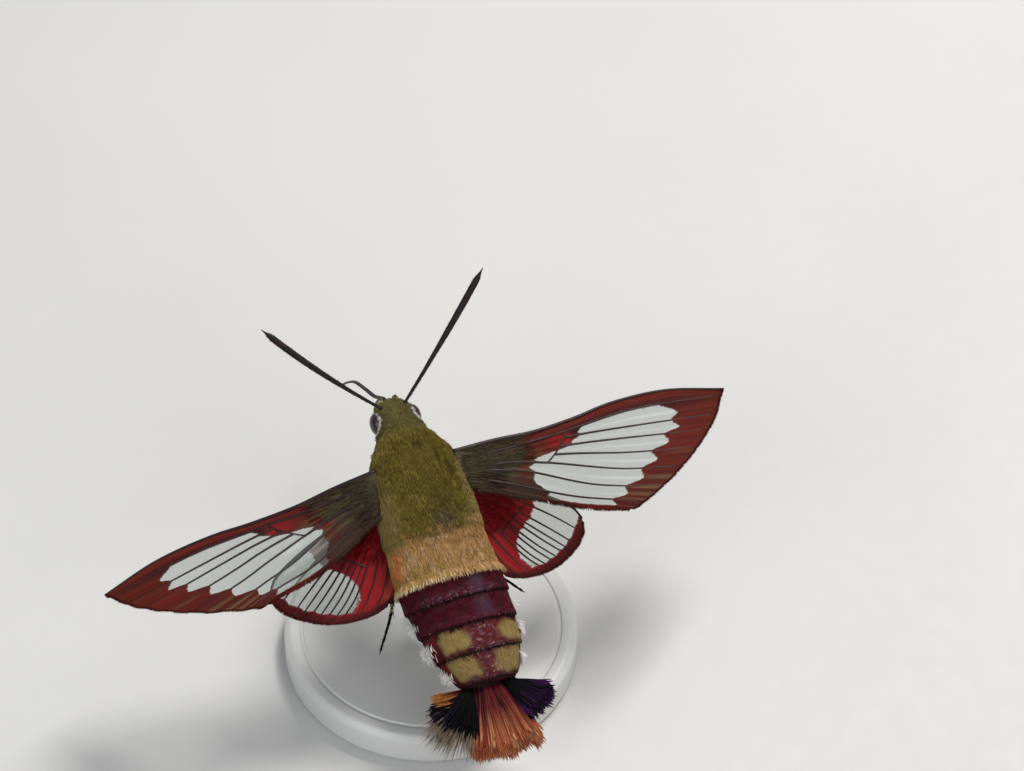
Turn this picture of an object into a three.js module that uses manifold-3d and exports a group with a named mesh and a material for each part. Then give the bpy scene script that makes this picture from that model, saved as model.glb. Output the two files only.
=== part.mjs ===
// A hummingbird clearwing moth in hovering flight on a small display stand, at life size.
// Millimetres, +Z up, the moth heads along +Y, and the origin is the middle of the stand's underside.
// The moth is built in its own body frame (x to its right, y to its head, z to its back),
// with the origin in the middle of the thorax, and one turned group sets it in its pose.
import * as THREE from "three";
import { mergeVertices } from "three/addons/utils/BufferGeometryUtils.js";
import Module from "manifold-3d";

const wasm = await Module();
wasm.setup();

// Driving dimensions of the moth.
const GAP = 0.3;
const BODY_PITCH = THREE.MathUtils.degToRad(30);
const BODY_HEIGHT = 17.5;
const BODY_FORWARD = 2;
const BODY_SIDES = 24;

// The body's outline, coat included: place along the body, half width, height of back and of belly.
const BODY_OUTLINE = [
  [8.85, 0.5, -0.15, -1.2],
  [8.55, 1.2, 0.4, -1.7],
  [7.95, 1.75, 0.95, -2.2],
  [7.0, 2.05, 1.4, -2.5],
  [5.8, 2.35, 1.9, -2.7],
  [4.8, 3.0, 2.6, -3.0],
  [3.5, 3.85, 3.3, -3.5],
  [1.5, 4.35, 3.85, -3.9],
  [-1.0, 4.65, 3.95, -3.95],
  [-3.5, 4.75, 3.8, -3.7],
  [-7.1, 4.8, 3.6, -3.4],
  [-11.5, 4.4, 3.1, -3.0],
  [-13.9, 3.9, 2.7, -2.6],
  [-15.6, 3.2, 2.2, -2.2],
  [-16.6, 2.4, 1.7, -1.8],
];
const HEAD = { front: 8.85, rear: 5.75 };
const COLLAR = { front: 5.45, rear: 4.45 };
const THORAX = { front: 4.15, rear: -3.0 };
const ABDOMEN = { front: -3.3, rear: -16.5 };
const SEGMENT_REARS = [-7.1, -9.3, -11.5, -13.9];
// The head swings a little to the moth's left, and the rear of the abdomen to its right.
const HEAD_SWING = { from: 4.5, to: 7.5, x: -0.2 };
const REAR_SWING = { from: 4, to: 18, x: 1.1 };
const COAT_RIM_FLARE = 0.32;
const RIM_FLARE = 0.18;
const RIM_STEP = 0.09;

const EYE = { x: 1.55, y: 6.95, z: -0.4, deep: 0.72, radius: 1.08 };

const ANTENNA = {
  root: [1.05, 8.05, 0.4],
  tip: { left: [9.9, 16.15, 4.6], right: [9.6, 16.7, 4.6] },
  bow: { left: 0.28, right: 0.1 },
  rootRadius: 0.25,
  clubRadius: 0.36,
  clubAt: 0.74,
};
const PROBOSCIS = { radius: 0.26, tipRadius: 0.18 };
const PALP = { radius: 0.5 };

// Wings. Outlines and veins are shares of the wing's length: along its leading edge, then back from it.
const FOREWING_LENGTH = 24.6;
const HINDWING_LENGTH = 12.6;
const WING_HALF_THICKNESS = 0.25;
const VEIN_RISE = 0.17;
const VEIN_HALF_WIDTH = 0.24;
const WING_STATIONS = 10;

const FOREWING_LINES = {
  leading: [[0, 0], [0.15, -0.004], [0.3, 0], [0.45, -0.014], [0.6, -0.038], [0.8, -0.036], [1, 0.014]],
  radius: [[0, 0.028], [0.2, 0.034], [0.4, 0.026], [0.66, 0.006], [0.985, 0.034]],
  media1: [[0, 0.04], [0.2, 0.05], [0.42, 0.05], [0.66, 0.07], [0.94, 0.1]],
  media2: [[0, 0.05], [0.2, 0.06], [0.385, 0.078], [0.62, 0.11], [0.89, 0.152]],
  media3: [[0, 0.058], [0.2, 0.072], [0.36, 0.105], [0.57, 0.16], [0.825, 0.207]],
  cubitus1: [[0, 0.067], [0.18, 0.085], [0.3, 0.12], [0.52, 0.212], [0.745, 0.264]],
  cubitus2: [[0, 0.078], [0.13, 0.1], [0.236, 0.135], [0.44, 0.255], [0.65, 0.32]],
  anal: [[0, 0.1], [0.1, 0.13], [0.21, 0.185], [0.38, 0.285], [0.56, 0.362]],
  trailing: [[0, 0.125], [0.1, 0.163], [0.22, 0.228], [0.38, 0.32], [0.515, 0.376]],
};
const HINDWING_LINES = {
  leading: [[0, 0], [0.35, -0.04], [0.7, -0.05], [0.9, -0.025], [0.985, 0.03]],
  radius: [[0, 0.035], [0.3, 0.025], [0.55, 0.045], [0.78, 0.08], [1.0, 0.13]],
  media1: [[0, 0.06], [0.3, 0.075], [0.52, 0.12], [0.76, 0.175], [0.965, 0.23]],
  media2: [[0, 0.08], [0.28, 0.115], [0.48, 0.19], [0.7, 0.265], [0.905, 0.32]],
  media3: [[0, 0.1], [0.25, 0.155], [0.43, 0.25], [0.64, 0.345], [0.835, 0.4]],
  cubitus1: [[0, 0.12], [0.22, 0.19], [0.38, 0.3], [0.57, 0.41], [0.75, 0.468]],
  cubitus2: [[0, 0.14], [0.19, 0.225], [0.33, 0.345], [0.49, 0.455], [0.65, 0.525]],
  anal: [[0, 0.16], [0.16, 0.265], [0.28, 0.39], [0.41, 0.495], [0.54, 0.564]],
  trailing: [[0, 0.19], [0.12, 0.31], [0.22, 0.42], [0.33, 0.52], [0.43, 0.578]],
};
// Veins that rise only past the end of the cell, at the middle station.
const OUTER_VEINS = ["media1", "media2", "media3"];

// How each wing is held, in degrees: raised (+) or lowered, swept back, and its rear edge turned up.
const POSES = {
  right: { fore: { raise: -7, sweep: -0.2, twist: 18 }, hind: { raise: -20, sweep: 24, twist: 0 } },
  left: { fore: { raise: -11.6, sweep: 8.1, twist: 37 }, hind: { raise: -6, sweep: 24, twist: 0 } },
};
const WING_ROOTS = { fore: [3.4, 2.85, 1.2], hind: [3.2, 0.9, -0.2] };
const WING_BEND = { fore: 0.6, hind: -0.3 };

// Legs: hip, knee, ankle and toe on the moth's right, as it trails them in flight.
const LEGS = {
  front: { right: [[1.2, 3.2, -2.6], [2.1, 5.4, -4.7], [1.6, 3.0, -5.7], [1.2, 0.2, -6.1]] },
  middle: { right: [[1.7, 0.8, -2.9], [3.3, 2.0, -5.3], [3.4, -1.6, -6.0], [2.9, -5.2, -5.7]] },
  hind: {
    right: [[1.8, -1.6, -2.9], [3.4, -2.8, -5.1], [5.0, -6.6, -5.0], [7.0, -9.2, -4.6]],
    left: [[1.8, -1.6, -2.9], [3.2, -2.8, -5.1], [4.0, -7.6, -4.9], [6.2, -11.1, -4.5]],
  },
};
const LEG_RADII = [0.5, 0.42, 0.34, 0.24];

// The locks of the coat's rear edge, the pale tufts along the flanks, and the tail's brushes.
const FRINGE = {
  count: 28,
  width: 1.15,
  thickness: 0.5,
  length: 1.6,
  tip: 0.3,
  lift: 0.2,
  sunk: 0.4,
  depth: 0.1,
};
const SIDE_TUFTS = {
  places: [-10.2, -12.6, -14.2],
  locks: 4,
  width: 1,
  thickness: 0.5,
  length: 1.5,
  tip: 0.4,
  depth: 0.45,
  turns: [-0.25, 0.45],
};
const TAIL = { front: -16.8, x: 1.0, z: -0.05, vaneThickness: 0.5, tip: 0.34, lift: 0.12 };
const FAN_LENGTH = 5.7;
const TUFT_LENGTH = { left: 4.3, right: 3.7 };

const STAND = { radius: 12.5, thickness: 3, bevel: 0.5, sides: 48, rodRadius: 1, rodSides: 16 };

const COLOURS = {
  olive: { color: 0x55521f, roughness: 0.85, metalness: 0 },
  burgundy: { color: 0x3a0a12, roughness: 0.6, metalness: 0 },
  rufous: { color: 0x8a3f22, roughness: 0.75, metalness: 0 },
  black: { color: 0x0c0b10, roughness: 0.7, metalness: 0 },
  cream: { color: 0xcfc6a4, roughness: 0.85, metalness: 0 },
  eye: { color: 0x1a1014, roughness: 0.2, metalness: 0 },
  horn: { color: 0x1d0f12, roughness: 0.5, metalness: 0 },
  wing: { color: 0x6a1a16, roughness: 0.45, metalness: 0 },
  paint: { color: 0xadadab, roughness: 0.4, metalness: 0 },
  steel: { color: 0xb9bcbf, roughness: 0.35, metalness: 1 },
};

// Seeded random numbers, so that every build gives the same coat.
let seed = 20240607;
function random() {
  seed = (seed * 1664525 + 1013904223) % 4294967296;
  return seed / 4294967296;
}
const vary = (share) => 1 + share * (2 * random() - 1);
const lerp = THREE.MathUtils.lerp;
const point = ([x, y, z]) => new THREE.Vector3(x, y, z);

// Solids to and from three.js geometry.
function solidOf(geometry) {
  const bare = new THREE.BufferGeometry();
  bare.setAttribute("position", geometry.getAttribute("position"));
  bare.setIndex(geometry.index);
  const merged = mergeVertices(bare, 1e-4);
  return new wasm.Manifold(
    new wasm.Mesh({
      numProp: 3,
      vertProperties: merged.attributes.position.array,
      triVerts: new Uint32Array(merged.index.array),
    }),
  );
}

function geometryOf(solid) {
  const mesh = solid.getMesh();
  const geometry = new THREE.BufferGeometry();
  geometry.setAttribute("position", new THREE.BufferAttribute(mesh.vertProperties, 3));
  geometry.setIndex(new THREE.BufferAttribute(mesh.triVerts, 1));
  geometry.computeVertexNormals();
  return geometry;
}

const joined = (solids) => solids.reduce((whole, piece) => whole.add(piece));
const cutBy = (solid, ...cutters) => cutters.reduce((whole, cutter) => whole.subtract(cutter), solid);

function largest(solid) {
  const bodies = solid.decompose();
  return bodies.reduce((best, body) => (body.volume() > best.volume() ? body : best));
}

// A closed surface through rings of equal length, with a flat fan at each end.
function throughRings(rings, flipped = false) {
  const sides = rings[0].length;
  const centres = [rings[0], rings.at(-1)].map((ring) =>
    ring.reduce((sum, p) => sum.add(p), new THREE.Vector3()).divideScalar(sides),
  );
  const points = [...rings.flat(), ...centres];
  const index = [];
  const face = (a, b, c) => index.push(...(flipped ? [a, c, b] : [a, b, c]));
  for (let r = 0; r < rings.length - 1; r++) {
    for (let k = 0; k < sides; k++) {
      const a = r * sides + k;
      const b = r * sides + ((k + 1) % sides);
      face(a, b, b + sides);
      face(a, b + sides, a + sides);
    }
  }
  const last = (rings.length - 1) * sides;
  for (let k = 0; k < sides; k++) {
    const next = (k + 1) % sides;
    face(points.length - 2, next, k);
    face(points.length - 1, last + k, last + next);
  }
  const geometry = new THREE.BufferGeometry().setFromPoints(points);
  geometry.setIndex(index);
  const solid = solidOf(geometry);
  return solid.volume() < 0 ? throughRings(rings, !flipped) : solid;
}

// A tapered round tube along a smooth curve through the given points.
function taperedTube(points, radiusAt, steps, sides) {
  const curve = new THREE.CatmullRomCurve3(points, false, "centripetal");
  const frames = curve.computeFrenetFrames(steps, false);
  const rings = [];
  for (let i = 0; i <= steps; i++) {
    const centre = curve.getPointAt(i / steps);
    const radius = radiusAt(i / steps);
    const ring = [];
    for (let k = 0; k < sides; k++) {
      const turn = (2 * Math.PI * k) / sides;
      ring.push(
        centre
          .clone()
          .addScaledVector(frames.normals[i], radius * Math.cos(turn))
          .addScaledVector(frames.binormals[i], radius * Math.sin(turn)),
      );
    }
    rings.push(ring);
  }
  return throughRings(rings);
}

// A flat lock or vane that tapers to its tip and lifts off the body along its length.
function lock({ root, along, across, length, width, thickness, tip, lift = 0 }) {
  const outward = new THREE.Vector3().crossVectors(across, along).normalize();
  const shares = [[0, 0.75], [0.4, 1], [0.75, lerp(1, tip, 0.4)], [1, tip]];
  const rings = shares.map(([u, breadth]) => {
    const centre = root
      .clone()
      .addScaledVector(along, u * length)
      .addScaledVector(outward, lift * u * u);
    const halfWidth = (width * breadth) / 2;
    const halfThickness = (thickness * lerp(1, 0.35, u)) / 2;
    return [
      centre.clone().addScaledVector(across, halfWidth),
      centre.clone().addScaledVector(outward, halfThickness),
      centre.clone().addScaledVector(across, -halfWidth),
      centre.clone().addScaledVector(outward, -halfThickness),
    ];
  });
  return throughRings(rings);
}

// The body's outline at a place along it: smooth cubic between the named places.
function outlineAt(y) {
  const rows = BODY_OUTLINE;
  const last = rows.length - 1;
  if (y >= rows[0][0]) return rows[0].slice(1);
  if (y <= rows[last][0]) return rows[last].slice(1);
  const k = rows.findIndex((row, i) => i < last && y <= row[0] && y >= rows[i + 1][0]);
  const [a, b] = [rows[k], rows[k + 1]];
  const before = rows[Math.max(0, k - 1)];
  const after = rows[Math.min(last, k + 2)];
  const span = b[0] - a[0];
  const t = (y - a[0]) / span;
  return [1, 2, 3].map((c) => {
    const slopeA = ((b[c] - before[c]) / (b[0] - before[0])) * span;
    const slopeB = ((after[c] - a[c]) / (after[0] - a[0])) * span;
    const t2 = t * t;
    const t3 = t2 * t;
    return (
      (2 * t3 - 3 * t2 + 1) * a[c] + (t3 - 2 * t2 + t) * slopeA + (3 * t2 - 2 * t3) * b[c] + (t3 - t2) * slopeB
    );
  });
}

const swingAt = (y) =>
  HEAD_SWING.x * THREE.MathUtils.smoothstep(y, HEAD_SWING.from, HEAD_SWING.to) +
  REAR_SWING.x * THREE.MathUtils.smoothstep(-y, REAR_SWING.from, REAR_SWING.to);

// A point on the body's surface: turn 0 is its right side and a quarter turn its back.
function onBody(y, turn, grow = 0) {
  const [halfWidth, back, belly] = outlineAt(y);
  const middle = (back + belly) / 2;
  const halfHeight = (back - belly) / 2;
  return new THREE.Vector3(
    swingAt(y) + (halfWidth + grow) * Math.cos(turn),
    y,
    middle + (halfHeight + grow) * Math.sin(turn),
  );
}

function bodyRing(y, grow) {
  const ring = [];
  for (let k = 0; k < BODY_SIDES; k++) ring.push(onBody(y, (2 * Math.PI * k) / BODY_SIDES, grow));
  return ring;
}

// A stretch of the body between two flat faces. Rows say where each ring is and how far it stands out.
const bodyLength = (rows, grow = 0) => throughRings(rows.map(([y, out]) => bodyRing(y, out + grow)));

function evenRows(front, rear, count) {
  return Array.from({ length: count + 1 }, (_, i) => [lerp(front, rear, i / count), 0]);
}

const headRows = [HEAD.front, 8.7, 8.45, 8.1, 7.6, 7, 6.4, HEAD.rear].map((y) => [y, 0]);
const thoraxRows = evenRows(THORAX.front, THORAX.rear, 11);

// Each ring of the abdomen stands out at its rear rim, over the front of the next.
function abdomenRows() {
  const rows = [[ABDOMEN.front, 0], [-4.6, 0.04], [-5.9, 0.12]];
  SEGMENT_REARS.forEach((rear, i) => {
    const next = SEGMENT_REARS[i + 1] ?? ABDOMEN.rear;
    const flare = i === 0 ? COAT_RIM_FLARE : RIM_FLARE;
    rows.push([rear, flare], [rear - RIM_STEP, 0], [(rear + next) / 2, RIM_FLARE * 0.6]);
  });
  rows.push([-15.9, 0], [ABDOMEN.rear, -0.1]);
  return rows;
}

function eyeSolid(side, grow = 0) {
  const geometry = new THREE.SphereGeometry(1, 16, 10);
  geometry.scale(EYE.deep + grow, EYE.radius + grow, EYE.radius + grow);
  geometry.translate(side * EYE.x + swingAt(EYE.y), EYE.y, EYE.z);
  return solidOf(geometry);
}

// The coat's ragged rear edge over the third segment, and pale tufts along the flanks.
function fringeLocks() {
  const rearward = new THREE.Vector3(0, -1, 0);
  const y = SEGMENT_REARS[0] + FRINGE.sunk;
  return Array.from({ length: FRINGE.count }, (_, k) => {
    const turn = (2 * Math.PI * (k + 0.5)) / FRINGE.count;
    const root = onBody(y, turn, -FRINGE.depth);
    return lock({
      ...FRINGE,
      root,
      along: rearward,
      across: onBody(y, turn + 0.02, -FRINGE.depth).sub(root).normalize(),
      length: FRINGE.length * vary(0.16),
      width: FRINGE.width * vary(0.12),
    });
  });
}

function sideTuftLocks(side) {
  const locks = [];
  const [lowest, highest] = SIDE_TUFTS.turns;
  for (const y of SIDE_TUFTS.places) {
    for (let k = 0; k < SIDE_TUFTS.locks; k++) {
      const rise = lerp(lowest, highest, k / (SIDE_TUFTS.locks - 1));
      const turn = side > 0 ? rise : Math.PI - rise;
      const root = onBody(y, turn, -SIDE_TUFTS.depth);
      const outward = onBody(y, turn, 1).sub(root).normalize();
      const along = outward.clone().multiplyScalar(0.62).setY(-0.78).normalize();
      locks.push(
        lock({
          ...SIDE_TUFTS,
          root,
          along,
          across: outward.clone().addScaledVector(along, -outward.dot(along)).normalize(),
          length: SIDE_TUFTS.length * vary(0.12),
        }),
      );
    }
  }
  return locks;
}

// A tail brush: vanes in tiers, spread like a fan from a short core.
function tailBrush({ rootX, rootHalfWidth, halfHeight, angles, tiers, length, width, core }) {
  const pieces = [];
  const front = TAIL.front;
  const coreRings = [0, 0.5, 1].map((u) => {
    const half = rootHalfWidth * lerp(1, 0.85, u);
    const ring = [];
    for (let k = 0; k < 12; k++) {
      const turn = (2 * Math.PI * k) / 12;
      const slant = Math.tan((angles[0] + angles[1]) / 2) * core * u;
      ring.push(
        new THREE.Vector3(
          rootX + slant + half * Math.cos(turn),
          front - core * u,
          TAIL.z + halfHeight * lerp(1, 0.45, u) * Math.sin(turn),
        ),
      );
    }
    return ring;
  });
  pieces.push(throughRings(coreRings));
  tiers.forEach(({ count, height, tilt, reach }) => {
    for (let k = 0; k < count; k++) {
      const share = count > 1 ? k / (count - 1) : 0.5;
      const angle = lerp(angles[0], angles[1], share) + 0.02 * (random() - 0.5);
      const along = new THREE.Vector3(Math.sin(angle), -Math.cos(angle), tilt).normalize();
      const rootAside = rootHalfWidth * lerp(-0.72, 0.72, share);
      pieces.push(
        lock({
          root: new THREE.Vector3(rootX + rootAside, front - 0.25, TAIL.z + height),
          along,
          across: new THREE.Vector3(Math.cos(angle), Math.sin(angle), 0),
          length: length * reach * vary(0.07),
          width: width * vary(0.1),
          thickness: TAIL.vaneThickness,
          tip: TAIL.tip,
          lift: TAIL.lift,
        }),
      );
    }
  });
  return joined(pieces);
}

// A wing: columns run from the root to the edge along its veins, which stand up as ridges on both faces.
function wing({ lines, length, root, side, pose, bend }) {
  const [raise, sweep, twist] = [pose.raise, pose.sweep, pose.twist].map(THREE.MathUtils.degToRad);
  const outward = new THREE.Vector3(side * Math.cos(raise), 0, Math.sin(raise));
  const backward = new THREE.Vector3(0, -1, 0);
  const along = outward.clone().multiplyScalar(Math.cos(sweep)).addScaledVector(backward, Math.sin(sweep));
  const back = outward.clone().multiplyScalar(-Math.sin(sweep)).addScaledVector(backward, Math.cos(sweep));
  const up = new THREE.Vector3().crossVectors(back, along).multiplyScalar(side);
  const start = new THREE.Vector3(side * root[0], root[1], root[2]);

  const place = ([s, c], height) => {
    const turn = twist * THREE.MathUtils.smoothstep(s, 0, 0.5);
    const chord = back.clone().multiplyScalar(Math.cos(turn)).addScaledVector(up, Math.sin(turn));
    const normal = up.clone().multiplyScalar(Math.cos(turn)).addScaledVector(back, -Math.sin(turn));
    return start
      .clone()
      .addScaledVector(along, s * length)
      .addScaledVector(chord, c * length)
      .addScaledVector(normal, height)
      .addScaledVector(up, bend * s * s);
  };

  const names = Object.keys(lines);
  const curves = names.map((name) => {
    const places = lines[name].map(([s, c]) => point([s, c, 0]));
    return new THREE.CatmullRomCurve3(places);
  });
  const isOuter = (name) => OUTER_VEINS.includes(name);
  const columns = [];
  for (let i = 0; i <= WING_STATIONS; i++) {
    const share = i / WING_STATIONS;
    const crests = curves.map((curve) => curve.getPoint(share));
    const rootRise = 0.22 * (1 - share) ** 5;
    const atCellEnd = i === WING_STATIONS / 2;
    const row = [];
    names.forEach((name, v) => {
      const crest = crests[v];
      const beside = (other) => {
        const reach = Math.min(0.3, VEIN_HALF_WIDTH / (crest.distanceTo(other) * length));
        return crest.clone().lerp(other, reach);
      };
      const raised = !isOuter(name) || share > 0.5;
      const crossRise = atCellEnd && isOuter(name) ? VEIN_RISE : 0;
      if (name === "leading") {
        row.push([crest, 0.02], [beside(crests[v + 1]), VEIN_RISE + rootRise]);
      } else if (name === "trailing") {
        row.push([crest, 0]);
      } else {
        row.push([beside(crests[v - 1]), crossRise + rootRise * 0.7]);
        row.push([crest, (raised ? VEIN_RISE : crossRise) + rootRise]);
        row.push([beside(crests[v + 1]), crossRise + rootRise * 0.7]);
      }
    });
    columns.push(row);
  }

  const wide = columns[0].length;
  const points = [];
  for (const sign of [1, -1]) {
    for (const row of columns) {
      for (const [at, rise] of row) points.push(place([at.x, at.y], sign * (WING_HALF_THICKNESS + rise)));
    }
  }
  const below = points.length / 2;
  const index = [];
  const face = (a, b, c) => index.push(...(side > 0 ? [a, b, c] : [a, c, b]));
  const wall = (a, b) => {
    face(a, b, b + below);
    face(a, b + below, a + below);
  };
  for (let i = 0; i < WING_STATIONS; i++) {
    for (let j = 0; j < wide - 1; j++) {
      const a = i * wide + j;
      const [b, c, d] = [a + 1, a + wide, a + wide + 1];
      face(a, b, d);
      face(a, d, c);
      face(a + below, d + below, b + below);
      face(a + below, c + below, d + below);
    }
  }
  const lastRow = WING_STATIONS * wide;
  for (let j = 0; j < wide - 1; j++) {
    wall(j + 1, j);
    wall(lastRow + j, lastRow + j + 1);
  }
  for (let i = 0; i < WING_STATIONS; i++) {
    wall(i * wide, (i + 1) * wide);
    wall((i + 1) * wide + wide - 1, i * wide + wide - 1);
  }
  const geometry = new THREE.BufferGeometry().setFromPoints(points);
  geometry.setIndex(index);
  return solidOf(geometry);
}

// A leg bends at knee and ankle and thins towards the toe.
function leg(joints, side) {
  const [hip, knee, ankle, toe] = joints.map(([x, y, z]) => new THREE.Vector3(side * x, y, z));
  const nearKnee = [hip.clone().lerp(knee, 0.85), knee.clone().lerp(ankle, 0.15)];
  const nearAnkle = [knee.clone().lerp(ankle, 0.88), ankle.clone().lerp(toe, 0.15)];
  const path = [hip, ...nearKnee, ...nearAnkle, toe];
  const radiusAt = (u) => {
    const k = Math.min(2, Math.floor(u * 3));
    return lerp(LEG_RADII[k], LEG_RADII[k + 1], u * 3 - k);
  };
  return taperedTube(path, radiusAt, 14, 7);
}

function antenna(name, side) {
  const from = point(ANTENNA.root);
  const to = point(ANTENNA.tip[name]);
  const bow = ANTENNA.bow[name];
  from.x += side * swingAt(from.y);
  const sideways = new THREE.Vector3(1, -1, 0).normalize();
  const path = [0, 0.25, 0.5, 0.75, 1].map((u) => {
    const p = from.clone().lerp(to, u).addScaledVector(sideways, bow * 4 * u * (1 - u));
    p.x *= side;
    return p;
  });
  const radiusAt = (u) => {
    const swell = THREE.MathUtils.smoothstep(u, 0.1, ANTENNA.clubAt);
    const taper = 1 - 0.62 * THREE.MathUtils.smoothstep(u, 0.86, 1);
    return lerp(ANTENNA.rootRadius, ANTENNA.clubRadius, swell) * taper;
  };
  return taperedTube(path, radiusAt, 16, 8);
}

// The tongue leaves the mouth, bends down and reaches out straight under the head.
function proboscis() {
  const mouth = new THREE.Vector3(HEAD_SWING.x, 8.2, -1.7);
  const reach = [[0, 0], [1, 0.7], [1.6, 2.4], [2.25, 4.5], [3.55, 7.3], [5, 10.7], [5.75, 13.8], [6.2, 16.6]];
  const path = reach.map(([ahead, down]) => point([mouth.x, mouth.y + ahead, mouth.z - down]));
  return taperedTube(path, (u) => lerp(PROBOSCIS.radius, PROBOSCIS.tipRadius, u * u), 24, 8);
}

function palp(side) {
  const path = [[0.95, 7.4, -2.5], [0.85, 8.3, -2.35], [0.72, 8.95, -1.75], [0.66, 9.1, -1.05]].map(point);
  path.forEach((p) => (p.x = side * p.x + HEAD_SWING.x));
  return taperedTube(path, (u) => PALP.radius * Math.sqrt(Math.max(0.06, 1 - u ** 3)), 8, 8);
}

// The parts, each cut clear of the part that carries it.
const headWhole = bodyLength(headRows);
const head = largest(cutBy(headWhole, eyeSolid(1, GAP), eyeSolid(-1, GAP)));
const headGrown = bodyLength([[9.3, -0.3], ...headRows, [HEAD.rear - GAP, 0]], GAP);
const thoraxGrown = bodyLength([[THORAX.front + GAP, 0], ...thoraxRows, [THORAX.rear - GAP, 0]], GAP);
const abdomenGrown = bodyLength([[ABDOMEN.front + GAP, 0], ...abdomenRows()], GAP);
const proboscisSolid = largest(cutBy(proboscis(), headGrown));
const proboscisRoom = taperedTube(
  [[0, 7.4, -1.7], [0, 8.6, -1.8], [0, 9.3, -2.5], [0, 9.8, -4.1], [0, 10.4, -6.2]].map(([x, y, z]) =>
    point([x + HEAD_SWING.x, y, z]),
  ),
  () => PROBOSCIS.radius + GAP,
  12,
  8,
);

const moth = new THREE.Group();
moth.position.set(0, BODY_FORWARD, BODY_HEIGHT);
moth.rotation.x = BODY_PITCH;
const display = new THREE.Group();
display.add(moth);

function addNode(group, name, solid, finish) {
  const mesh = new THREE.Mesh(geometryOf(solid), new THREE.MeshStandardMaterial(COLOURS[finish]));
  mesh.name = name;
  group.add(mesh);
}

const abdomenCore = bodyLength(abdomenRows());
const abdomenPieces = [abdomenCore, ...fringeLocks(), ...sideTuftLocks(1), ...sideTuftLocks(-1)];
addNode(moth, "head", head, "olive");
addNode(moth, "collar", bodyLength(evenRows(COLLAR.front, COLLAR.rear, 3)), "olive");
addNode(moth, "thorax", bodyLength(thoraxRows), "olive");
addNode(moth, "abdomen", largest(joined(abdomenPieces)), "burgundy");
addNode(moth, "proboscis", proboscisSolid, "horn");

const fanAngles = [-17, 30].map(THREE.MathUtils.degToRad);
const tuftAngles = { left: [-76, -20], right: [35, 64] };
const fanSide = { left: [TAIL.x - 1.2, fanAngles[0]], right: [TAIL.x + 1.3, fanAngles[1]] };
const fan = tailBrush({
  rootX: TAIL.x,
  rootHalfWidth: 1.1,
  halfHeight: 1.35,
  angles: fanAngles,
  tiers: [
    { count: 8, height: 0.75, tilt: 0.02, reach: 0.93 },
    { count: 9, height: 0.0, tilt: 0, reach: 1 },
    { count: 8, height: -0.75, tilt: -0.02, reach: 0.93 },
  ],
  length: FAN_LENGTH,
  width: 1.2,
  core: 2.2,
});

const cuts = {};
for (const [name, [x, angle]] of Object.entries(fanSide)) {
  const side = name === "right" ? 1 : -1;
  const normal = [side * Math.cos(angle), side * Math.sin(angle), 0];
  cuts[name] = { normal, offset: normal[0] * x + normal[1] * TAIL.front };
}
const flipped = (normal) => normal.map((n) => -n);
let fanCut = fan;
for (const { normal, offset } of Object.values(cuts)) {
  fanCut = fanCut.trimByPlane(flipped(normal), -(offset - GAP / 2));
}
addNode(moth, "tail_fan", largest(fanCut), "rufous");

for (const [name, side] of [["right", 1], ["left", -1]]) {
  const { normal, offset } = cuts[name];
  const tuft = tailBrush({
    rootX: TAIL.x + side * 1.85,
    rootHalfWidth: 0.7,
    halfHeight: 0.9,
    angles: tuftAngles[name].map(THREE.MathUtils.degToRad),
    tiers: [
      { count: 5, height: 0.42, tilt: 0.05, reach: 0.95 },
      { count: 6, height: -0.25, tilt: -0.04, reach: 1 },
    ],
    length: TUFT_LENGTH[name],
    width: 0.95,
    core: 1.1,
  });
  addNode(moth, `tail_tuft_${name}`, largest(tuft.trimByPlane(normal, offset + GAP / 2)), "black");

  addNode(moth, `eye_${name}`, eyeSolid(side), "eye");
  addNode(moth, `antenna_${name}`, largest(cutBy(antenna(name, side), headGrown)), "horn");
  addNode(moth, `palp_${name}`, largest(cutBy(palp(side), headGrown, proboscisRoom)), "cream");

  const fore = wing({
    lines: FOREWING_LINES,
    length: FOREWING_LENGTH,
    root: WING_ROOTS.fore,
    side,
    pose: POSES[name].fore,
    bend: WING_BEND.fore,
  });
  addNode(moth, `forewing_${name}`, largest(cutBy(fore, thoraxGrown)), "wing");
  const hind = wing({
    lines: HINDWING_LINES,
    length: HINDWING_LENGTH,
    root: WING_ROOTS.hind,
    side,
    pose: POSES[name].hind,
    bend: WING_BEND.hind,
  });
  addNode(moth, `hindwing_${name}`, largest(cutBy(hind, thoraxGrown, abdomenGrown)), "wing");

  for (const [pair, shapes] of Object.entries(LEGS)) {
    const joints = shapes[name] ?? shapes.right;
    const finish = pair === "front" ? "cream" : "horn";
    addNode(moth, `leg_${pair}_${name}`, largest(cutBy(leg(joints, side), thoraxGrown)), finish);
  }
}

// The stand: a round base with a soft edge, and one rod up to the belly behind the legs.
const { radius, thickness, bevel } = STAND;
const baseProfile = [
  [0, 0],
  [radius - bevel / 2, 0],
  [radius, bevel / 2],
  [radius, thickness - bevel],
  [radius - bevel, thickness],
  [0, thickness],
].map(([x, y]) => new THREE.Vector2(x, y));
const base = new THREE.LatheGeometry(baseProfile, STAND.sides);
base.rotateX(Math.PI / 2);
addNode(display, "stand_base", solidOf(base), "paint");

const rodLength = BODY_HEIGHT;
const rod = new THREE.CylinderGeometry(STAND.rodRadius, STAND.rodRadius, rodLength, STAND.rodSides);
rod.rotateX(Math.PI / 2);
rod.translate(0, 0, thickness + GAP + rodLength / 2);
moth.updateMatrixWorld(true);
const worldPlaced = (solid) => solidOf(geometryOf(solid).applyMatrix4(moth.matrixWorld));
const rodCut = cutBy(solidOf(rod), worldPlaced(thoraxGrown), worldPlaced(abdomenGrown));
const rodBelow = rodCut.decompose().sort((a, b) => a.boundingBox().min[2] - b.boundingBox().min[2])[0];
addNode(display, "stand_rod", rodBelow, "steel");

export default display;
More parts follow.
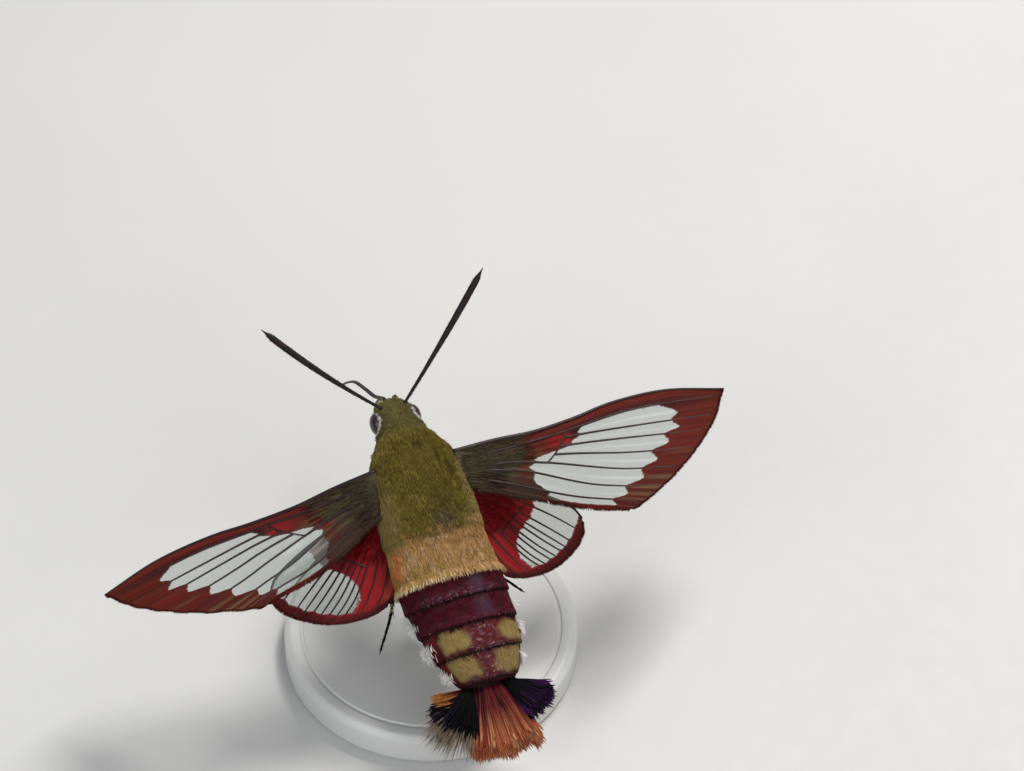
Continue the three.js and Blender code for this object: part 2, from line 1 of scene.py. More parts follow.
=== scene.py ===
"""Looks of the clearwing moth model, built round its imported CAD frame.

Shapes are worked out in the moth's own frame, in millimetres: x to its right, y towards its head
and z out of its back. BodyPlace turns them into the scene's frame, in metres.
"""
import sys
import logging
import math
from dataclasses import dataclass, field
from enum import Enum

import bpy
import numpy as np
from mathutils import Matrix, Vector


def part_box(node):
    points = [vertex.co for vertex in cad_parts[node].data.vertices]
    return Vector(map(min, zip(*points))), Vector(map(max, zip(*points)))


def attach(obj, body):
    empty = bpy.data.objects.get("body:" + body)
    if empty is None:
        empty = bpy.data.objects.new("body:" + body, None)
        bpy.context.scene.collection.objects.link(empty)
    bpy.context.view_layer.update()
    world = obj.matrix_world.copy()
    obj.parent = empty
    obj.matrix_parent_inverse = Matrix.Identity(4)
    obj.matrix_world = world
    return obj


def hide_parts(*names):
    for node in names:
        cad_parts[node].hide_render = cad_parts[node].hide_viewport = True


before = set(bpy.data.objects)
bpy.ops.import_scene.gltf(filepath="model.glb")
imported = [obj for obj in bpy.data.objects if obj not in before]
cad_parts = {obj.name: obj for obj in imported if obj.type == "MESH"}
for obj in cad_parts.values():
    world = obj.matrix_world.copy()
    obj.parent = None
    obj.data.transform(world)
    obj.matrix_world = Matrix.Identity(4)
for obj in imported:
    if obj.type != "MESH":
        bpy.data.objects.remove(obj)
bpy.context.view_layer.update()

Array = np.ndarray
Socket = bpy.types.NodeSocket
Pair = tuple[float, float]
Point = tuple[float, float, float]
Rgba = tuple[float, float, float, float]

MM = 0.001
TURN = 2 * math.pi
IMAGE_SIZE = (1024, 771)
TUFTS_PER_PIECE = 17000
TRIANGLES_PER_PIECE = 190000
TUFT_PATCH = 0.003
TIP_BLEND = (0.32, 0.85)

log = logging.getLogger("moth")


# ---- small sums on arrays


def smooth(value: Array | float, low: float, high: float) -> Array:
    """Rises smoothly from 0 at low to 1 at high."""
    t = np.clip((np.asarray(value, float) - low) / (high - low), 0, 1)
    return t * t * (3 - 2 * t)


def within(value: Array, low: float, high: float, soft: float) -> Array:
    """Is 1 between low and high, and falls to 0 over soft on both sides."""
    half = soft / 2
    return smooth(value, low - half, low + half) * (1 - smooth(value, high - half, high + half))


def unit(vectors: Array) -> Array:
    """Gives vectors a length of one."""
    return vectors / np.maximum(np.linalg.norm(vectors, axis=-1, keepdims=True), 1e-12)


def blend(base: "Array | Tone", tone: "Array | Tone", share: Array | float) -> Array:
    """Mixes a colour into others.

    Args:
        base: A colour, or colours, one to a row.
        tone: The colour or colours to mix in.
        share: How much of it each row takes.

    Returns:
        The mixed colours.
    """
    base, tone = (part.linear if isinstance(part, Tone) else part for part in (base, tone))
    share = np.clip(np.asarray(share, float), 0, 1)[..., None]
    return base * (1 - share) + tone * share


def waves(points: Array, size: float, seed: int, count: int = 9) -> Array:
    """Smooth random variation in space, about as strong as a unit normal draw.

    Args:
        points: Where to read it, in millimetres.
        size: How long its waves are.
        seed: Which variation.
        count: How many waves are added up.

    Returns:
        One value for each point.
    """
    rng = np.random.default_rng(seed)
    directions = unit(rng.normal(size=(count, points.shape[-1]))) * rng.uniform(0.6, 1.7, (count, 1))
    phases = rng.uniform(0, TURN, count)
    return np.sin(points @ directions.T * (TURN / size) + phases).sum(-1) * math.sqrt(2 / count)


def hermite(start: Array, end: Array, lead: Array, trail: Array, t: Array) -> Array:
    """A cubic from start to end, with the slopes lead and trail there."""
    near, far = (1 - t) ** 2, t**2
    return near * ((1 + 2 * t) * start + t * lead) + far * ((3 - 2 * t) * end + (t - 1) * trail)


def curve_at(controls: Array, shares: Array) -> Array:
    """Reads a centripetal Catmull-Rom curve, as the CAD source does.

    Args:
        controls: The points that the curve runs through.
        shares: Places on it, from 0 to 1.

    Returns:
        One point for each share.
    """
    controls = np.asarray(controls, float)
    last = len(controls) - 1
    padded = np.vstack([2 * controls[0] - controls[1], controls, 2 * controls[-1] - controls[-2]])
    spot = np.clip(np.asarray(shares, float), 0, 1) * last
    start = np.minimum(spot.astype(int), last - 1)
    t = (spot - start)[:, None]
    p0, p1, p2, p3 = (padded[start + k] for k in range(4))
    gaps = [np.sqrt(np.linalg.norm(b - a, axis=1, keepdims=True)) for a, b in ((p0, p1), (p1, p2), (p2, p3))]
    d0, d1, d2 = (np.maximum(gap, 1e-6) for gap in gaps)
    t1 = ((p1 - p0) / d0 - (p2 - p0) / (d0 + d1) + (p2 - p1) / d1) * d1
    t2 = ((p2 - p1) / d1 - (p3 - p1) / (d1 + d2) + (p3 - p2) / d2) * d1
    return hermite(p1, p2, t1, t2, t)


def even_path(controls: Array, count: int) -> Array:
    """Walks a smooth curve in even steps.

    Args:
        controls: The points that the curve runs through.
        count: How many points to give back.

    Returns:
        Points the same distance apart along the curve.
    """
    fine = curve_at(controls, np.linspace(0, 1, 400))
    walked = np.concatenate([[0], np.cumsum(np.linalg.norm(np.diff(fine, axis=0), axis=1))])
    stops = np.linspace(0, walked[-1], count)
    return np.stack([np.interp(stops, walked, fine[:, k]) for k in range(3)], -1)


class Tone(Enum):
    """The moth's colours, as a screen shows them, from 0 to 255."""

    OLIVE = (108, 95, 40)
    OLIVE_LIGHT = (148, 130, 80)
    OLIVE_DARK = (62, 54, 26)
    HEAD_OLIVE = (106, 97, 60)
    BACK_GREY = (86, 74, 58)
    TAN = (170, 130, 84)
    TAN_ORANGE = (204, 126, 72)
    TAN_GOLD = (154, 122, 64)
    CREAM = (224, 211, 174)
    WHITE = (238, 234, 228)
    BURGUNDY = (70, 6, 22)
    BURGUNDY_DARK = (28, 4, 10)
    LILAC = (130, 106, 128)
    GLINT = (80, 72, 92)
    PATCH = (146, 124, 74)
    RED_BROWN = (96, 32, 36)
    FLANK_RED = (108, 34, 30)
    BELLY_RED = (118, 56, 36)
    RUFOUS = (164, 94, 62)
    RUFOUS_RED = (132, 56, 42)
    RUFOUS_LIGHT = (190, 136, 96)
    ORANGE = (160, 102, 50)
    BLACK = (8, 7, 10)
    BLACK_PURPLE = (30, 14, 40)
    PURPLE = (62, 20, 72)
    GREY_HAIR = (132, 116, 98)
    WING_OLIVE = (74, 66, 48)
    WING_RED = (86, 25, 17)
    WING_TIP = (78, 26, 10)
    WING_DARK = (42, 16, 18)
    WING_SPOT = (118, 24, 26)
    HIND_RED = (134, 20, 28)
    HIND_BROWN = (134, 58, 42)
    HIND_STRAW = (152, 124, 88)
    VEIN = (30, 8, 12)

    @property
    def linear(self) -> Array:
        """The colour in linear light, from 0 to 1."""
        share = np.array(self.value, float) / 255
        return np.where(share <= 0.04045, share / 12.92, ((share + 0.055) / 1.055) ** 2.4)

    @property
    def rgba(self) -> Rgba:
        """The linear colour with full cover, for a shader's socket."""
        return (*[float(part) for part in self.linear], 1.0)


@dataclass(frozen=True)
class BodyPlace:
    """Where the moth's own frame stands in the scene."""

    pitch: float = math.radians(30)
    height: float = 17.5
    forward: float = 2.0

    def world(self, points: Array) -> Array:
        """Turns millimetres in the moth's frame into metres in the scene.

        Args:
            points: Points in the moth's frame.

        Returns:
            The same points in the scene's frame.
        """
        x, y, z = points[..., 0], points[..., 1], points[..., 2]
        level, rise = math.cos(self.pitch), math.sin(self.pitch)
        ahead = self.forward + y * level - z * rise
        return np.stack([x, ahead, self.height + y * rise + z * level], -1) * MM


@dataclass(frozen=True)
class StandPlace:
    """The stand is worked out in the scene's own frame, in millimetres."""

    def world(self, points: Array) -> Array:
        """Turns millimetres into metres."""
        return points * MM


# ---- meshes


@dataclass
class Surface:
    """Points and faces of a mesh, with what each point carries.

    Attributes:
        points: Places in millimetres, one to a row.
        faces: Arrays of point numbers, each of faces with one number of corners.
        colours: The colour of each point, or None.
        values: Named numbers or vectors of each point.
        unwrap: Each point's place on the bake map, or None.
        each: How many points each tuft has, where it is made of tufts.
    """

    points: Array
    faces: list[Array]
    colours: Array | None = None
    values: dict[str, Array] = field(default_factory=dict)
    unwrap: Array | None = None
    each: int = 0

    def coloured(self, colour: Array) -> "Surface":
        """Gives every point one colour, or each its own."""
        self.colours = np.broadcast_to(colour, self.points.shape).copy()
        return self


def joined(surfaces: list[Surface]) -> Surface:
    """Puts surfaces together in one, without welding them.

    Args:
        surfaces: Surfaces that carry the same things.

    Returns:
        One surface.
    """
    starts = np.cumsum([0] + [len(s.points) for s in surfaces[:-1]])
    first = surfaces[0]
    return Surface(
        np.vstack([s.points for s in surfaces]),
        [faces + start for s, start in zip(surfaces, starts) for faces in s.faces],
        None if first.colours is None else np.vstack([s.colours for s in surfaces]),
        {key: np.concatenate([s.values[key] for s in surfaces]) for key in first.values},
        None if first.unwrap is None else np.vstack([s.unwrap for s in surfaces]),
        first.each,
    )


def tube(path: Array, radii: Array, sides: int, flat: float = 1.0) -> Surface:
    """A closed round tube along a path.

    Args:
        path: Points along its middle.
        radii: Its radius at each point.
        sides: How many sides it has.
        flat: Its height as a share of its width.

    Returns:
        The tube, with `along` from 0 to 1 on its points.
    """
    tangents = unit(np.gradient(path, axis=0))
    up = np.array([0.0, 0.0, 1.0]) if abs(tangents[0][2]) < 0.9 else np.array([1.0, 0.0, 0.0])
    normals = []
    for tangent in tangents:
        up = unit(up - tangent * (up @ tangent))
        normals.append(up)
    normals = np.array(normals)
    sideways = np.cross(tangents, normals)
    turns = np.linspace(0, TURN, sides, endpoint=False)
    around = np.cos(turns)[:, None] * sideways[:, None] + flat * np.sin(turns)[:, None] * normals[:, None]
    rings = path[:, None] + around * np.asarray(radii)[:, None, None]
    points = np.vstack([rings.reshape(-1, 3), path[:1], path[-1:]])
    return Surface(points, [kind[:, ::-1] for kind in closed_grid(len(path), sides)])


def grid_faces(rows: int, columns: int, closed: bool = False) -> Array:
    """Quads of a grid of points, counted row by row.

    Args:
        rows: How many rows it has.
        columns: How many columns it has.
        closed: Whether the last column joins the first.

    Returns:
        The corner numbers of each quad.
    """
    across = np.arange(columns if closed else columns - 1)
    start = (np.arange(rows - 1)[:, None] * columns + across).ravel()
    beside = (np.arange(rows - 1)[:, None] * columns + (across + 1) % columns).ravel()
    return np.stack([start, beside, beside + columns, start + columns], -1)


def closed_grid(rows: int, columns: int) -> list[Array]:
    """Faces of rings of points, closed by one more point at each end.

    Args:
        rows: How many rings there are.
        columns: How many points each has. The two end points come after all of them.

    Returns:
        The quads between the rings, and the triangles of both ends.
    """
    ring = np.arange(columns)
    following = (ring + 1) % columns
    last, end = (rows - 1) * columns, rows * columns
    caps = np.vstack([
        np.stack([following, ring, np.full(columns, end)], -1),
        np.stack([last + ring, last + following, np.full(columns, end + 1)], -1),
    ])
    return [grid_faces(rows, columns, True), caps]


def turned(profile: list[Pair], sides: int) -> Surface:
    """A shape turned round the upright axis.

    Args:
        profile: Radius and height pairs, from the axis below to the axis above.
        sides: How many sides it has.

    Returns:
        The closed surface.
    """
    turns = np.linspace(0, TURN, sides, endpoint=False)
    inner = np.array(profile[1:-1])
    rings = np.stack([
        inner[:, :1] * np.cos(turns),
        inner[:, :1] * np.sin(turns),
        np.repeat(inner[:, 1:], sides, 1),
    ], -1).reshape(-1, 3)
    ends = np.array([[0, 0, profile[0][1]], [0, 0, profile[-1][1]]])
    return Surface(np.vstack([rings, ends]), closed_grid(len(inner), sides))


@dataclass
class Piece:
    """One shown object of the model.

    Attributes:
        name: The object's name.
        slot: The record's material slot, by name; it is not used.
        replaces: The CAD nodes that it stands for.
    """

    name: str
    slot: str
    replaces: tuple[str, ...] = ()

    def show(self, surface: Surface, finish: "Finish", place: BodyPlace | StandPlace = BodyPlace()) -> None:
        """Makes the object and lets it ride on the model.

        Args:
            surface: Its shape.
            finish: Its material.
            place: What turns its points into the scene's frame.
        """
        mesh = bpy.data.meshes.new(self.name)
        corners = np.concatenate([faces.ravel() for faces in surface.faces]).astype(np.int32)
        sizes = np.concatenate([np.full(len(faces), faces.shape[1]) for faces in surface.faces])
        starts = np.concatenate([[0], np.cumsum(sizes)[:-1]]).astype(np.int32)
        mesh.vertices.add(len(surface.points))
        mesh.vertices.foreach_set("co", place.world(surface.points).astype(np.float32).ravel())
        mesh.loops.add(len(corners))
        mesh.loops.foreach_set("vertex_index", corners)
        mesh.polygons.add(len(sizes))
        mesh.polygons.foreach_set("loop_start", starts)
        mesh.polygons.foreach_set("use_smooth", np.ones(len(sizes), bool))
        mesh.update(calc_edges=True)
        if surface.colours is not None:
            layer = mesh.attributes.new("scale_colour", "FLOAT_COLOR", "POINT")
            rgba = np.ones((len(surface.points), 4), np.float32)
            rgba[:, :3] = np.clip(surface.colours, 0, 1)
            layer.data.foreach_set("color", rgba.ravel())
        for key, value in surface.values.items():
            is_vector = value.ndim == 2
            layer = mesh.attributes.new(key, "FLOAT_VECTOR" if is_vector else "FLOAT", "POINT")
            layer.data.foreach_set("vector" if is_vector else "value", value.astype(np.float32).ravel())
        if surface.unwrap is not None:
            layer = mesh.uv_layers.new(name="OFBake")
            layer.uv.foreach_set("vector", surface.unwrap[corners].astype(np.float32).ravel())
        mesh.materials.append(finish.material())
        piece = bpy.data.objects.new(self.name, mesh)
        bpy.context.scene.collection.objects.link(piece)
        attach(piece, "root")
        if self.replaces:
            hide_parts(*self.replaces)
        log.info("%s: %d points, %d faces", self.name, len(surface.points), len(sizes))


# ---- finishes


class Nodes:
    """A material's node tree, with short ways to add to it."""

    def __init__(self, name: str) -> None:
        """Starts a material with one shader.

        Args:
            name: The material's name.
        """
        self.made = bpy.data.materials.new(name)
        self.made.use_nodes = True
        self.tree = self.made.node_tree
        self.shader = self.tree.nodes["Principled BSDF"]

    def add(self, kind: str, settings: dict | None = None, **inputs: object) -> bpy.types.Node:
        """Adds a node.

        Args:
            kind: The node's type, without its ShaderNode prefix.
            settings: Properties of the node.
            inputs: Values or output sockets for its inputs, with _ for a space.

        Returns:
            The new node.
        """
        node = self.tree.nodes.new("ShaderNode" + kind)
        for key, value in (settings or {}).items():
            setattr(node, key, value)
        for key, value in inputs.items():
            self.feed(node, key.replace("_", " "), value)
        return node

    def feed(self, node: bpy.types.Node, name: str, value: object) -> None:
        """Links or sets one input.

        Args:
            node: The node that takes it.
            name: The input's name, or its number as text.
            value: A value, or the socket that feeds it.
        """
        socket = node.inputs[int(name.strip())] if name.strip().isdigit() else node.inputs[name]
        if isinstance(value, Socket):
            self.tree.links.new(value, socket)
        else:
            socket.default_value = value

    def read(self, name: str, output: str = "Color") -> Socket:
        """Reads what the mesh carries under a name."""
        return self.add("Attribute", {"attribute_name": name}).outputs[output]

    def noise(self, size: float, vector: Socket | None = None, detail: float = 3) -> Socket:
        """Grey noise."""
        vector = vector or self.add("TexCoord").outputs["Object"]
        return self.add("TexNoise", Vector=vector, Scale=1 / size, Detail=detail, Roughness=0.6).outputs[0]

    def level(
        self, value: Socket, low: float, high: float, to_low: float, to_high: float, smoothly: bool = False
    ) -> Socket:
        """Maps a value from one range to another, and holds it there.

        Args:
            value: What is mapped.
            low: The value that becomes to_low.
            high: The value that becomes to_high.
            to_low: The result at low.
            to_high: The result at high.
            smoothly: Whether the step is eased.

        Returns:
            The mapped value.
        """
        kind = {"interpolation_type": "SMOOTHSTEP" if smoothly else "LINEAR"}
        node = self.add("MapRange", kind)
        for index, part in enumerate((value, low, high, to_low, to_high)):
            self.feed(node, str(index), part)
        return node.outputs[0]

    def mix(self, share: Socket | float, one: object, other: object, way: str = "MIX") -> Socket:
        """Mixes two colours.

        Args:
            share: How much of the other one there is.
            one: The first colour or socket.
            other: The second colour or socket.
            way: The blend type.

        Returns:
            The mixed colour.
        """
        node = self.add("Mix", {"data_type": "RGBA", "blend_type": way})
        for index, part in ((0, share), (6, one), (7, other)):
            self.feed(node, str(index), part)
        return node.outputs[2]

    def maths(self, way: str, one: object, other: object = 0.0) -> Socket:
        """Adds, multiplies or otherwise joins two numbers.

        Args:
            way: The node's operation.
            one: A number or socket.
            other: Another one.

        Returns:
            The output socket.
        """
        node = self.add("Math", {"operation": way})
        self.feed(node, "0", one)
        self.feed(node, "1", other)
        return node.outputs[0]

    def brightened(self, colour: object, value: Socket, low: float, high: float) -> Socket:
        """Varies a colour's brightness by noise.

        Args:
            colour: The colour or socket to vary.
            value: Noise of about 0.5.
            low: The brightness where the noise is low.
            high: The brightness where it is high.

        Returns:
            The varied colour.
        """
        shade = self.level(value, 0.3, 0.7, low, high)
        grey = self.add("CombineColor", Red=shade, Green=shade, Blue=shade).outputs[0]
        return self.mix(1.0, colour, grey, "MULTIPLY")

    def surface(self, **inputs: object) -> None:
        """Feeds the shader's inputs."""
        for key, value in inputs.items():
            self.feed(self.shader, key.replace("_", " "), value)

    def bump(self, height: Socket, depth: float, strength: float = 1.0) -> None:
        """Gives the shader a relief."""
        node = self.add("Bump", Strength=strength, Distance=depth, Height=height)
        self.feed(self.shader, "Normal", node.outputs[0])


@dataclass(frozen=True)
class Finish:
    """A finish, which makes its material once.

    Attributes:
        name: The material's name.
    """

    name: str

    def material(self) -> bpy.types.Material:
        """The finish's material, made at its first use.

        Returns:
            The material.
        """
        found = bpy.data.materials.get(self.name)
        if found:
            return found
        nodes = Nodes(self.name)
        self.dress(nodes)
        return nodes.made

    def dress(self, nodes: Nodes) -> None:
        """Builds the node tree."""
        raise NotImplementedError


@dataclass(frozen=True)
class ScaleFinish(Finish):
    """Hair and scales that carry their own colours.

    Attributes:
        roughness: The lowest and highest roughness.
        sheen: How strongly the hairs' edges catch the light.
        shine: The specular level.
    """

    roughness: Pair = (0.5, 0.8)
    sheen: float = 0.01
    shine: float = 0.05

    def dress(self, nodes: Nodes) -> None:
        """Builds the node tree.

        Args:
            nodes: The nodes of its material.
        """
        fine = nodes.noise(0.00025)
        nodes.surface(
            Base_Color=nodes.brightened(nodes.read("scale_colour"), fine, 0.9, 1.1),
            Roughness=nodes.level(fine, 0.3, 0.7, *self.roughness),
            Sheen_Weight=self.sheen,
            Sheen_Roughness=0.4,
            Specular_IOR_Level=self.shine,
        )
        nodes.bump(fine, 0.00001, 0.4)


@dataclass(frozen=True)
class SkinFinish(Finish):
    """The body's skin under the coat: flat hair, drawn as streaks along the body.

    Attributes:
        streak: How wide the streaks are, in millimetres.
    """

    streak: float = 0.14

    def dress(self, nodes: Nodes) -> None:
        """Builds the node tree.

        Args:
            nodes: The nodes of its material.
        """
        streaks = nodes.noise(self.streak, nodes.read("lie", "Vector"), 4)
        fine = nodes.noise(0.00012)
        nodes.surface(
            Base_Color=nodes.brightened(nodes.read("scale_colour"), streaks, 0.6, 1.25),
            Roughness=nodes.level(fine, 0.3, 0.7, 0.5, 0.85),
            Specular_IOR_Level=0.12,
        )
        nodes.bump(streaks, 0.00006, 0.8)


@dataclass(frozen=True)
class MembraneFinish(Finish):
    """A wing's membrane: scaled where it is covered, and clear in its windows.

    Attributes:
        window: The window's colour.
        window_cover: How much of the light the window's two faces each stop.
    """

    window: Rgba = (0.15, 0.19, 0.165, 1.0)
    window_cover: float = 0.24

    def dress(self, nodes: Nodes) -> None:
        """Builds the node tree.

        Args:
            nodes: The nodes of its material.
        """
        streaks = nodes.noise(0.09, nodes.read("lie", "Vector"), 5)
        ragged = nodes.maths("MULTIPLY", nodes.maths("SUBTRACT", nodes.noise(0.0002), 0.5), 0.5)
        cover = nodes.maths("ADD", nodes.read("cover", "Fac"), ragged)
        scaled = nodes.level(cover, -0.07, 0.07, 0.0, 1.0, True)
        colour = nodes.brightened(nodes.read("scale_colour"), streaks, 0.66, 1.3)
        nodes.surface(
            Base_Color=nodes.mix(scaled, self.window, colour),
            Alpha=nodes.level(scaled, 0.0, 1.0, self.window_cover, 1.0),
            Roughness=nodes.level(scaled, 0.0, 1.0, 0.16, 0.75),
            Specular_IOR_Level=0.12,
        )
        nodes.bump(nodes.maths("MULTIPLY", streaks, scaled), 0.00005, 0.7)


@dataclass(frozen=True)
class HornFinish(Finish):
    """Hard scaled cuticle with fine rings.

    Attributes:
        tone: Its main colour.
        light: The colour of its worn places.
        roughness: The lowest and highest roughness.
        ring: The length of its rings, in metres.
    """

    tone: Tone = Tone.BLACK
    light: Tone = Tone.BURGUNDY_DARK
    roughness: Pair = (0.3, 0.6)
    ring: float = 0.00012

    def dress(self, nodes: Nodes) -> None:
        """Builds the node tree.

        Args:
            nodes: The nodes of its material.
        """
        fine = nodes.noise(self.ring * 1.5)
        broad = nodes.noise(self.ring * 9)
        worn = nodes.level(broad, 0.42, 0.66, 0.0, 1.0)
        colour = nodes.mix(worn, self.tone.rgba, self.light.rgba)
        nodes.surface(
            Base_Color=nodes.brightened(colour, fine, 0.7, 1.4),
            Roughness=nodes.level(fine, 0.3, 0.7, *self.roughness),
            Specular_IOR_Level=0.3,
        )
        nodes.bump(fine, 0.00002, 0.6)


@dataclass(frozen=True)
class EyeFinish(Finish):
    """A dark compound eye under its facets."""

    facet: float = 0.00007

    def dress(self, nodes: Nodes) -> None:
        """Builds the node tree.

        Args:
            nodes: The nodes of its material.
        """
        where = nodes.add("TexCoord").outputs["Object"]
        facets = nodes.add("TexVoronoi", Vector=where, Scale=1 / self.facet).outputs["Distance"]
        patch = nodes.level(nodes.noise(0.0009), 0.4, 0.65, 0.0, 1.0, True)
        colour = nodes.mix(patch, Tone.BURGUNDY_DARK.rgba, (0.035, 0.016, 0.02, 1))
        nodes.surface(
            Base_Color=nodes.brightened(colour, facets, 1.3, 0.7),
            Roughness=nodes.level(facets, 0.0, 0.6, 0.22, 0.4),
            Specular_IOR_Level=0.35,
            Coat_Weight=0.35,
            Coat_Roughness=0.12,
        )
        nodes.bump(facets, 0.000012, 0.5)


@dataclass(frozen=True)
class PaintFinish(Finish):
    """Satin paint, with the faint orange peel of a sprayed coat.

    Attributes:
        colour: Its linear colour.
        roughness: The lowest and highest roughness.
        grain: The size of its grain, in metres.
    """

    colour: Rgba = (0.62, 0.62, 0.6, 1.0)
    roughness: Pair = (0.32, 0.46)
    grain: float = 0.0004

    def dress(self, nodes: Nodes) -> None:
        """Builds the node tree.

        Args:
            nodes: The nodes of its material.
        """
        fine = nodes.noise(self.grain)
        cloud = nodes.noise(self.grain * 40)
        nodes.surface(
            Base_Color=nodes.brightened(self.colour, cloud, 0.96, 1.03),
            Roughness=nodes.level(fine, 0.3, 0.7, *self.roughness),
        )
        nodes.bump(fine, self.grain * 0.02, 0.3)


@dataclass(frozen=True)
class SteelFinish(Finish):
    """Steel brushed round its axis."""

    grain: float = 0.00008

    def dress(self, nodes: Nodes) -> None:
        """Builds the node tree.

        Args:
            nodes: The nodes of its material.
        """
        where = nodes.add("TexCoord").outputs["Object"]
        squeezed = nodes.add("Mapping", Vector=where, Scale=(0.04, 0.04, 1.0)).outputs[0]
        brushed = nodes.noise(self.grain, squeezed, 2)
        nodes.surface(
            Base_Color=nodes.brightened((0.56, 0.57, 0.58, 1), brushed, 0.86, 1.1),
            Metallic=1.0,
            Roughness=nodes.level(brushed, 0.3, 0.7, 0.24, 0.42),
        )
        nodes.bump(brushed, 0.000006, 0.4)


COAT = ScaleFinish("coat_scales")
SKIN = SkinFinish("skin_under_coat")
MEMBRANE = MembraneFinish("clear_and_scaled_membrane")
VEIN_HORN = HornFinish("wing_vein_horn", Tone.VEIN, Tone.WING_DARK, (0.35, 0.6))
DARK_HORN = HornFinish("near_black_horn")
LEG_HORN = HornFinish("leg_horn", Tone.BLACK, Tone.WING_DARK)
PALE_HORN = HornFinish("pale_leg_scales", Tone.CREAM, Tone.TAN, (0.55, 0.8))
EYE_SURFACE = EyeFinish("compound_eye")
STAND_PAINT = PaintFinish("satin_stand_paint")
STAND_STEEL = SteelFinish("brushed_stand_steel")
FLOOR_PAINT = PaintFinish("pale_floor", (0.56, 0.555, 0.545, 1.0), (0.6, 0.75), 0.002)


# ---- the coat's tufts


@dataclass(frozen=True)
class Tuft:
    """How one kind of tuft is shaped.

    Attributes:
        length: Its length in millimetres.
        width: Its width.
        lift: How far it leans off the surface, in degrees.
        droop: How far its tip bends back to the surface, as a share of its length.
        spread: How far its direction varies sideways, in degrees.
        root_shade: The brightness of its root, darkened as painted shade where the hairs crowd.
        tip_shade: The brightness of its tip, raised as painted light.
        breadths: Its width at the root, on the way, and near the tip, as shares.
        stops: Where along it those widths are.
        vary: How much its length and brightness vary.
    """

    length: float
    width: float
    lift: float = 18
    droop: float = 0.22
    spread: float = 8
    root_shade: float = 0.62
    tip_shade: float = 1.12
    breadths: tuple[float, ...] = (0.8, 0.9)
    stops: tuple[float, ...] = (0.0, 0.5)
    vary: float = 0.2

    def grow(
        self, roots: Array, along: Array, outward: Array, colours: Array, unwrap: Array,
        seed: int, lengths: Array | float = 1.0, tips: Array | None = None,
    ) -> Surface:
        """Makes a tuft at each root, as a thin curved blade with three sides.

        Args:
            roots: Where the tufts start.
            along: The way they lie.
            outward: The way out of the surface.
            colours: Their colours.
            unwrap: Their roots' places on the bake map.
            seed: The seed of their variation.
            lengths: A factor on each one's length.
            tips: The colours of their tips, or None.

        Returns:
            All the tufts in one surface.
        """
        rng = np.random.default_rng(seed)
        count = len(roots)
        outward = unit(outward)
        along = unit(along - outward * (along * outward).sum(-1, keepdims=True))
        aside = np.cross(outward, along)
        sway = np.radians(rng.normal(0, self.spread, count))[:, None]
        lift = np.radians(self.lift * (1 + 0.3 * rng.normal(size=count)))[:, None]
        flat = along * np.cos(sway) + aside * np.sin(sway)
        run = flat * np.cos(lift) + outward * np.sin(lift)
        side = unit(np.cross(outward, run))
        top = np.cross(run, side)
        long = (self.length * lengths * (1 + self.vary * rng.uniform(-1, 1, count)))[:, None]
        wide = (self.width * (1 + 0.25 * rng.uniform(-1, 1, count)))[:, None]
        rings = []
        for stop, breadth in zip((*self.stops, 1.0), (*self.breadths, 0.0)):
            middle = roots + run * long * stop - outward * long * self.droop * stop**2
            half = wide * breadth / 2
            if breadth:
                rings += [middle - side * half, middle + side * half, middle + top * half * 0.7]
            else:
                rings.append(middle)
        points = np.stack(rings, 1)
        steps = len(self.stops)
        template = []
        for ring in range(steps - 1):
            for k in range(3):
                a, b = 3 * ring + k, 3 * ring + (k + 1) % 3
                template += [(a, b, b + 3), (a, b + 3, a + 3)]
        a, b, c, end = range(3 * steps - 3, 3 * steps + 1)
        template += [(a, b, end), (b, c, end), (c, a, end), (0, 2, 1)]
        size = points.shape[1]
        faces = (np.array(template) + (np.arange(count) * size)[:, None, None]).reshape(-1, 3)
        bright = 1 + self.vary * 0.8 * rng.normal(size=(count, 1, 1)).clip(-2, 2)
        shares = np.append(np.repeat(self.stops, 3), 1.0)
        # Painted shade and light: each tuft is darker at its root, as if shaded by the hairs round it, and
        # brighter at its tip, as if lit.
        painted_shading = self.root_shade + (self.tip_shade - self.root_shade) * shares
        tinted = np.repeat(colours[:, None], size, 1)
        if tips is not None:
            tinted = blend(tinted, tips[:, None], np.broadcast_to(smooth(shares, *TIP_BLEND), (count, size)))
        tinted = tinted * painted_shading[None, :, None] * bright
        spread = np.stack([np.append(np.tile([-0.4, 0.4, 0.0], steps), 0.0), shares - 0.5], -1) * TUFT_PATCH
        return Surface(
            points.reshape(-1, 3),
            [faces],
            tinted.reshape(-1, 3),
            unwrap=(unwrap[:, None] + spread).clip(0, 1).reshape(-1, 2),
            each=size,
        )


LONG = {"breadths": (0.7, 1.0, 0.62), "stops": (0.0, 0.45, 0.8)}
# Fur tufts take painted shade at the root and painted light at the tip, with a little random brightness.
FUR = {"root_shade": 0.78, "tip_shade": 1.08, "vary": 0.12}


def show_coat(name: str, slot: str, tufts: Surface) -> None:
    """Shows tufts as pieces of a bounded size.

    Args:
        name: The pieces' name, before their number.
        slot: Their material slot.
        tufts: Tufts of one kind.
    """
    size = tufts.each
    count = len(tufts.points) // size
    faces = np.concatenate(tufts.faces)
    faces_each = len(faces) // count
    per_piece = min(TUFTS_PER_PIECE, TRIANGLES_PER_PIECE // faces_each)
    parts = math.ceil(count / per_piece)
    for part in range(parts):
        low, high = count * part // parts, count * (part + 1) // parts
        span = slice(low * size, high * size)
        surface = Surface(
            tufts.points[span],
            [faces[low * faces_each : high * faces_each] - low * size],
            tufts.colours[span],
            unwrap=tufts.unwrap[span],
        )
        Piece(f"{name}_{part + 1}", slot).show(surface, COAT)


def coat_count(full: int) -> int:
    return full


# ---- the body


